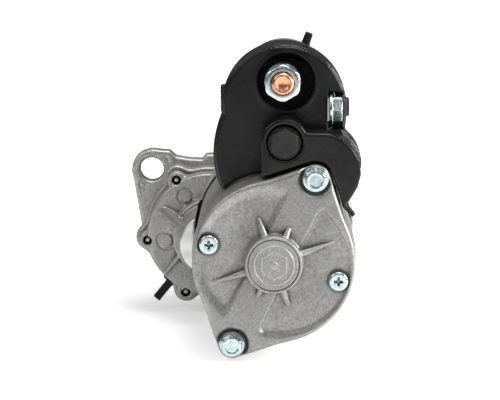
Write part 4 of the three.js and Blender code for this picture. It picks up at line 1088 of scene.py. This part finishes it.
def terminal_hood():
    low, high = span("terminal_hood")
    g = Grid(low, high, 0.5)
    x, y, z = g.x, g.y, g.z
    u, v = x - SOLENOID[0], z - SOLENOID[1]
    outline = hood_outline(u, v)
    skirt = slab(outline, y, HOOD_REAR + 2.0, HOOD_FRONT + 6, 1.0)
    plate = slab(outline + 1.3, y, HOOD_REAR, HOOD_REAR + 6, 0.45)
    body = np.minimum(skirt, plate)
    body = cut(body, slab(outline + 2.6, y, HOOD_REAR + 2.6, HOOD_FRONT + 9, 1.0), 0.6)
    opening = np.hypot(u - 1.4, v - 14.8) - 15.3
    collar = slab(np.abs(opening - 1.1) - 1.0, y, HOOD_REAR, HOOD_REAR + 12, 0.5)
    body = smooth_min(body, smooth_max(collar, outline + 1.3, 0.3), 0.6)
    body = cut(body, slab(opening, y, HOOD_REAR - 4, HOOD_REAR + 14, 0.2), 1.0)
    body = cut(body, slab(np.hypot(u - 0.5, v + 16.4) - 11, y, HOOD_REAR - 4, HOOD_REAR + 6, 0.2), 0.6)
    body = cut(body, slab(rectangle(u, v, 24.3, 31.9, -11.1, 9.4), y, HOOD_REAR - 5, HOOD_REAR + 15, 0.8), 0.7)
    # A thin wall inside the hood, between its skirt and the can, which closes off the view out through the notch.
    lip = smooth_max(smooth_max(outline + 1.2, 28.7 - np.hypot(u, v), 0.2), -v - 20, 0.2)
    body = np.minimum(body, slab(lip, y, -151, -148.8, 0.3))
    lugs = np.minimum(rectangle(u, v, -34.6, -30, -2.9, 11.7), rectangle(u, v, 32, 36.1, -5.3, 4.4))
    body = smooth_min(body, smooth_max(slab(lugs, y, -151, -143, 0.5), -outline - 2.4, 0.5), 0.6)
    body = smooth_min(body, smooth_max(vent_post(u, v, y), -outline - 2.4, 0.3), 0.7)
    lead_exit = np.maximum(28 - u, v + 33)
    body = cut(body, slab(lead_exit, y, HOOD_REAR - 9, HOOD_FRONT + 9, 0), 1.0)
    body = cut(body, slab(cap_shadow(x, z, 0.9), y, HOOD_REAR - 9, HOOD_FRONT + 9, 0), 0.6)
    body = smooth_max(body, y - HOOD_FRONT, 0.6)
    fit(g.piece("terminal_hood_shell", body), PLASTIC, "black_plastic", "housing", "terminal_hood")


LEAD_ARM = [(-11.0, -15), (-11.0, -37.5), (10, -48), (32.4, -50.0), (36.4, -44.6), (39.4, -39.4), (41.0, -33.0)]
LEAD_ARM += [(40.4, -26.0), (36.6, -19.6), (31.2, -14.6), (24.4, -11.7), (10, -11.2)]


def lead_outline(u, v):
    """Lead hood in plan: a round boss over the lower stud and an arm that sweeps round the bolt ear."""
    boss = np.hypot(u - 0.6, v + 15.8) - 12.7
    return smooth_min(boss, polygon(u, v, LEAD_ARM) - 0.7, 0.8)


def lead_hood():
    low, high = span("lead_hood")
    g = Grid(low, high, 0.45)
    x, y, z = g.x, g.y, g.z
    u, v = x - SOLENOID[0], z - SOLENOID[1]
    outline = smooth_max(lead_outline(u, v), -cap_shadow(x, z, 1.0), 1.2)
    body = slab(outline, y, LEAD_REAR, LEAD_FRONT + 5, 1.3)
    body = cut(body, slab(outline + 2.0, y, LEAD_REAR + 2.2, LEAD_FRONT + 9, 0.8), 0.6)
    body = cut(body, slab(np.hypot(u - 0.6, v + 15.8) - 9.9, y, LEAD_REAR - 4, LEAD_REAR + 6, 0.2), 0.6)
    turn = math.radians(45)
    strip_along = (u - 32.2) * math.sin(turn) - (v + 49.6) * math.cos(turn)
    strip_side = (u - 32.2) * math.cos(turn) + (v + 49.6) * math.sin(turn)
    strip = slab(rectangle(strip_side, strip_along, -1.1, 1.1, -1, 8.2), y, LEAD_REAR + 1, LEAD_REAR + 11, 0.4)
    body = smooth_min(body, cut(strip, cap_shadow(x, z, 0.6), 0.4), 0.6)
    body = smooth_max(body, y - LEAD_FRONT, 0.6)
    fit(g.piece("lead_hood_shell", body), PLASTIC, "black_plastic", "housing", "lead_hood")


# ---------------------------------------------------------------- shaft, pinion and clutch


def involute_outline(module, teeth, shift, slack, lead):
    """Points round a spur gear with one tooth centred on the angle "lead"."""
    pressure = math.radians(20)
    pitch = module * teeth / 2
    base = pitch * math.cos(pressure)
    tip = pitch + module * (1 + shift) - 0.3
    root = pitch - module * (1.25 - shift)
    half_pitch = (math.pi / 2 + 2 * shift * math.tan(pressure)) / teeth - slack / (2 * pitch)

    def half_width(r):
        at = math.acos(min(1, base / max(r, base)))
        return half_pitch + (math.tan(pressure) - pressure) - (math.tan(at) - at)

    radii = [root] + [max(base, root) + (tip - max(base, root)) * i / 5 for i in range(6)]
    points = []
    for tooth in range(teeth):
        centre = lead + 2 * math.pi * tooth / teeth
        for side, order in ((-1, radii), (1, radii[::-1])):
            for r in order:
                turn = centre + side * half_width(r)
                points.append((r * math.cos(turn), r * math.sin(turn)))
    return points


def drive_pinion():
    low, high = span("drive_pinion")
    g = grid_round(SHAFT, 20, low[1], high[1], 0.35)
    x, y, z = g.x, g.y, g.z
    teeth = polygon(x, z, involute_outline(3, 10, 0.5, 0.3, 0))
    off = circle(x, z, SHAFT, 0)
    body = slab(teeth, y, low[1] + 13, high[1], 0.5)
    body = smooth_max(body, off - 17.0 - np.clip((high[1] - y) * 1.2, 0, 3), 0.6)
    body = smooth_min(body, slab(off - 15, y, low[1], low[1] + 13.2, 0.5), 0.6)
    body = cut(body, off - 8.3 - np.clip(y - high[1] + 0.8, 0, 1), 0.4)
    fit(g.piece("drive_pinion_gear", body), STEEL, "machined_steel", "pinion", "drive_pinion")


def shaft_pieces():
    low, high = span("drive_shaft")
    front = [(0, 13.2), (8, 13.2), (8, 64), (7, 64.8), (7, high[1] - 0.6), (6.4, high[1]), (0, high[1])]
    rod = lathed("drive_shaft_front", front, SHAFT, 0.3, 80)
    fit(rod, STEEL, "machined_steel", "drive_shaft")
    for node, inner, material in (("stop_ring", 8.05, STEEL), ("nose_bush", 7.3, BY_SLOT["bronze"])):
        ring_low, ring_high = span(node)
        outer = (ring_high[2] - ring_low[2]) / 2
        profile = [(inner, ring_low[1]), (outer, ring_low[1]), (outer, ring_high[1]), (inner, ring_high[1])]
        body = "drive_shaft" if node == "stop_ring" else "housing"
        slot = "machined_steel" if node == "stop_ring" else "bronze"
        fit(lathed(node + "_turned", profile, SHAFT, 0.4, 80), material, slot, body, node)


def clutch_shell():
    low, high = span("clutch_housing")
    rear, front = low[1], high[1]
    outer = (high[0] - low[0]) / 2
    profile = [(10.9, rear), (12.6, rear), (12.6, rear + 14.3), (outer - 1.5, rear + 14.3), (outer, rear + 15.8)]
    profile += [(outer, front - 6), (outer - 0.6, front - 5), (outer - 0.6, front - 3), (outer, front - 2)]
    profile += [(outer, front), (17, front), (17, rear + 29.5), (10.9, rear + 29.5)]
    fit(lathed("clutch_shell", profile, SHAFT, 0.4, 112), STEEL, "machined_steel", "clutch", "clutch_housing")


def return_spring():
    """A round-wire helix in the plunger's pocket, made at one fixed length; the real one shortens as the plunger
    comes back.
    """
    low, high = span("plunger_spring")
    centre = axis_of("plunger_spring")
    radius, wire_radius, turns, sides = 6.9, 0.8, 6, 12
    steps = turns * 40
    points, faces = [], []
    for i in range(steps + 1):
        t = i / steps
        turn = 2 * math.pi * turns * t
        y = low[1] + wire_radius + (high[1] - low[1] - 2 * wire_radius) * t
        for j in range(sides):
            a = 2 * math.pi * j / sides
            r = radius + wire_radius * math.cos(a)
            points.append((centre[0] + r * math.cos(turn), y + wire_radius * math.sin(a), centre[1] + r * math.sin(turn)))
    for i in range(steps):
        for j in range(sides):
            k = (j + 1) % sides
            faces.append((i * sides + j, i * sides + k, (i + 1) * sides + k, (i + 1) * sides + j))
    faces.append(tuple(range(sides)))
    faces.append(tuple(steps * sides + j for j in reversed(range(sides))))
    piece = mesh_piece("return_spring_wire", points, faces)
    clean(piece)
    fit(piece, STEEL, "machined_steel", "housing", "plunger_spring")
    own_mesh(piece)


# ---------------------------------------------------------------- the whole object

rear_cap()
hub_badge()
yoke()
seals()
for number, bolt_place in enumerate(BOLTS, 1):
    flange_bolt(f"flange_bolt_{number}", f"through_bolt_{number}", bolt_place, CAP_FACE + 2.7)
for number, screw_place in enumerate(BRUSH_SCREWS, 1):
    pan_screw(f"pan_screw_{number}", f"brush_screw_{number}", screw_place)
gear_cover()
for number, screw_place in enumerate(COVER_SCREWS, 1):
    cover_screw(number, screw_place)
drive_housing()
pivot_plugs()
drain_tube()
solenoid_can()
for number, screw_place in enumerate(SEAT_SCREWS, 1):
    seat_screw(number, screw_place)
battery_y0, battery_y1 = span("battery_nut")[0][1], span("battery_nut")[1][1]
nut("battery_stud_nut", BATTERY, 18.5, battery_y0, battery_y1, 5.9, ZINC, "zinc_steel", ["battery_nut"], 0.9)
washer("battery_stud_washer", "battery_washer", 6.3, 9.7)
stud("battery_stud", "battery_terminal", 6.0, 1.75, 0.9)
lower_nut()
ignition_terminal()
terminal_hood()
lead_hood()
drive_pinion()
shaft_pieces()
clutch_shell()
return_spring()

slot_of = {part["node"]: part["material_slot"] for part in frame["record"]["subparts"]}
for node_name, node_object in frame["nodes"].items():
    node_object.data.materials.clear()
    node_object.data.materials.append(BY_SLOT[slot_of[node_name]])
# Painted shade: the ignition terminal's blade gets the darker machined steel in place of zinc, for the shade in its
# notch.
frame["nodes"]["ignition_terminal"].data.materials[0] = STEEL

# ---------------------------------------------------------------- studio

low_corner, high_corner = CAD_BOX
FLOOR_SIZE = 8.0


def studio_floor():
    floor_mesh = bpy.data.meshes.new("floor")
    half = FLOOR_SIZE / 2
    corners = [(-half, -half), (half, -half), (half, half), (-half, half)]
    floor_mesh.from_pydata([(x, y, low_corner[2] - 0.0004) for x, y in corners], [], [(0, 1, 2, 3)])
    floor = bpy.data.objects.new("floor", floor_mesh)
    bpy.context.scene.collection.objects.link(floor)
    s = Shader("floor", (0.80, 0.80, 0.80), 0.4, 0.0, 0.25)
    s.set("Emission Color", (1, 1, 1, 1))
    away = s.add("ShaderNodeVectorMath", {"operation": "LENGTH"}, _0=s.place).outputs["Value"]
    seen = s.add("ShaderNodeLightPath").outputs["Is Camera Ray"]
    # The floor glows so that it reads white, and glows less for rays other than the camera's. Painted shade: the glow
    # falls to under half near the object, which dims the floor round it.
    glow = s.between(away, 0.10, 0.34, 0.45, 1.08)
    s.set("Emission Strength", s.math("MULTIPLY", glow, s.between(seen, 0, 1, 0.36, 1.0)))
    s.bump(s.noise(40, 2), 0.02, 0.1)
    floor_mesh.materials.append(s.material)


def softbox(name, place, aim, size, power, color=(1, 1, 1)):
    data = bpy.data.lights.new(name, "AREA")
    data.shape = "RECTANGLE"
    data.size, data.size_y = size
    data.energy = power
    data.color = color
    lamp = bpy.data.objects.new(name, data)
    bpy.context.scene.collection.objects.link(lamp)
    lamp.location = place
    lamp.rotation_euler = (Vector(aim) - Vector(place)).to_track_quat("-Z", "Y").to_euler()


def studio_world():
    world = bpy.data.worlds.new("studio")
    bpy.context.scene.world = world
    world.use_nodes = True
    tree = world.node_tree
    nodes, links = tree.nodes, tree.links
    nodes.clear()
    seen = nodes.new("ShaderNodeBackground")
    seen.inputs["Color"].default_value = (1, 1, 1, 1)
    seen.inputs["Strength"].default_value = 1.1
    light = nodes.new("ShaderNodeBackground")
    ramp = nodes.new("ShaderNodeMapRange")
    split = nodes.new("ShaderNodeSeparateXYZ")
    place = nodes.new("ShaderNodeTexCoord")
    links.new(place.outputs["Generated"], split.inputs[0])
    links.new(split.outputs["Z"], ramp.inputs["Value"])
    for name, number in zip(("From Min", "From Max", "To Min", "To Max"), (0.0, 0.9, 0.04, 0.50)):
        ramp.inputs[name].default_value = number
    links.new(ramp.outputs["Result"], light.inputs["Strength"])
    choose = nodes.new("ShaderNodeMixShader")
    path = nodes.new("ShaderNodeLightPath")
    out = nodes.new("ShaderNodeOutputWorld")
    links.new(path.outputs["Is Camera Ray"], choose.inputs[0])
    links.new(light.outputs[0], choose.inputs[1])
    links.new(seen.outputs[0], choose.inputs[2])
    links.new(choose.outputs[0], out.inputs["Surface"])


def camera():
    data = bpy.data.cameras.new("camera")
    data.sensor_width = 36
    data.lens = 194.4
    data.clip_end = 50
    eye = bpy.data.objects.new("camera", data)
    bpy.context.scene.collection.objects.link(eye)
    bpy.context.scene.camera = eye
    azimuth, elevation, distance = math.radians(0.74), math.radians(7.70), 1.45
    look_at = home((24.6, CAP_FACE + 4.2, 40.4))
    forward = Vector(
        (
            -math.sin(azimuth) * math.cos(elevation),
            math.cos(azimuth) * math.cos(elevation),
            -math.sin(elevation),
        )
    )
    eye.location = look_at - forward * distance
    eye.rotation_euler = forward.to_track_quat("-Z", "Y").to_euler()


studio_floor()
studio_world()
target = (0.0, -0.08, 0.07)
softbox("overhead", (0.15, -0.2, 1.3), target, (0.7, 0.7), 11)
softbox("right", (1.25, -0.42, 0.6), target, (0.4, 0.7), 26)
softbox("left", (-0.9, -0.6, 1.0), target, (0.5, 0.7), 3.8)
camera()
bpy.context.scene.view_settings.view_transform = "Standard"
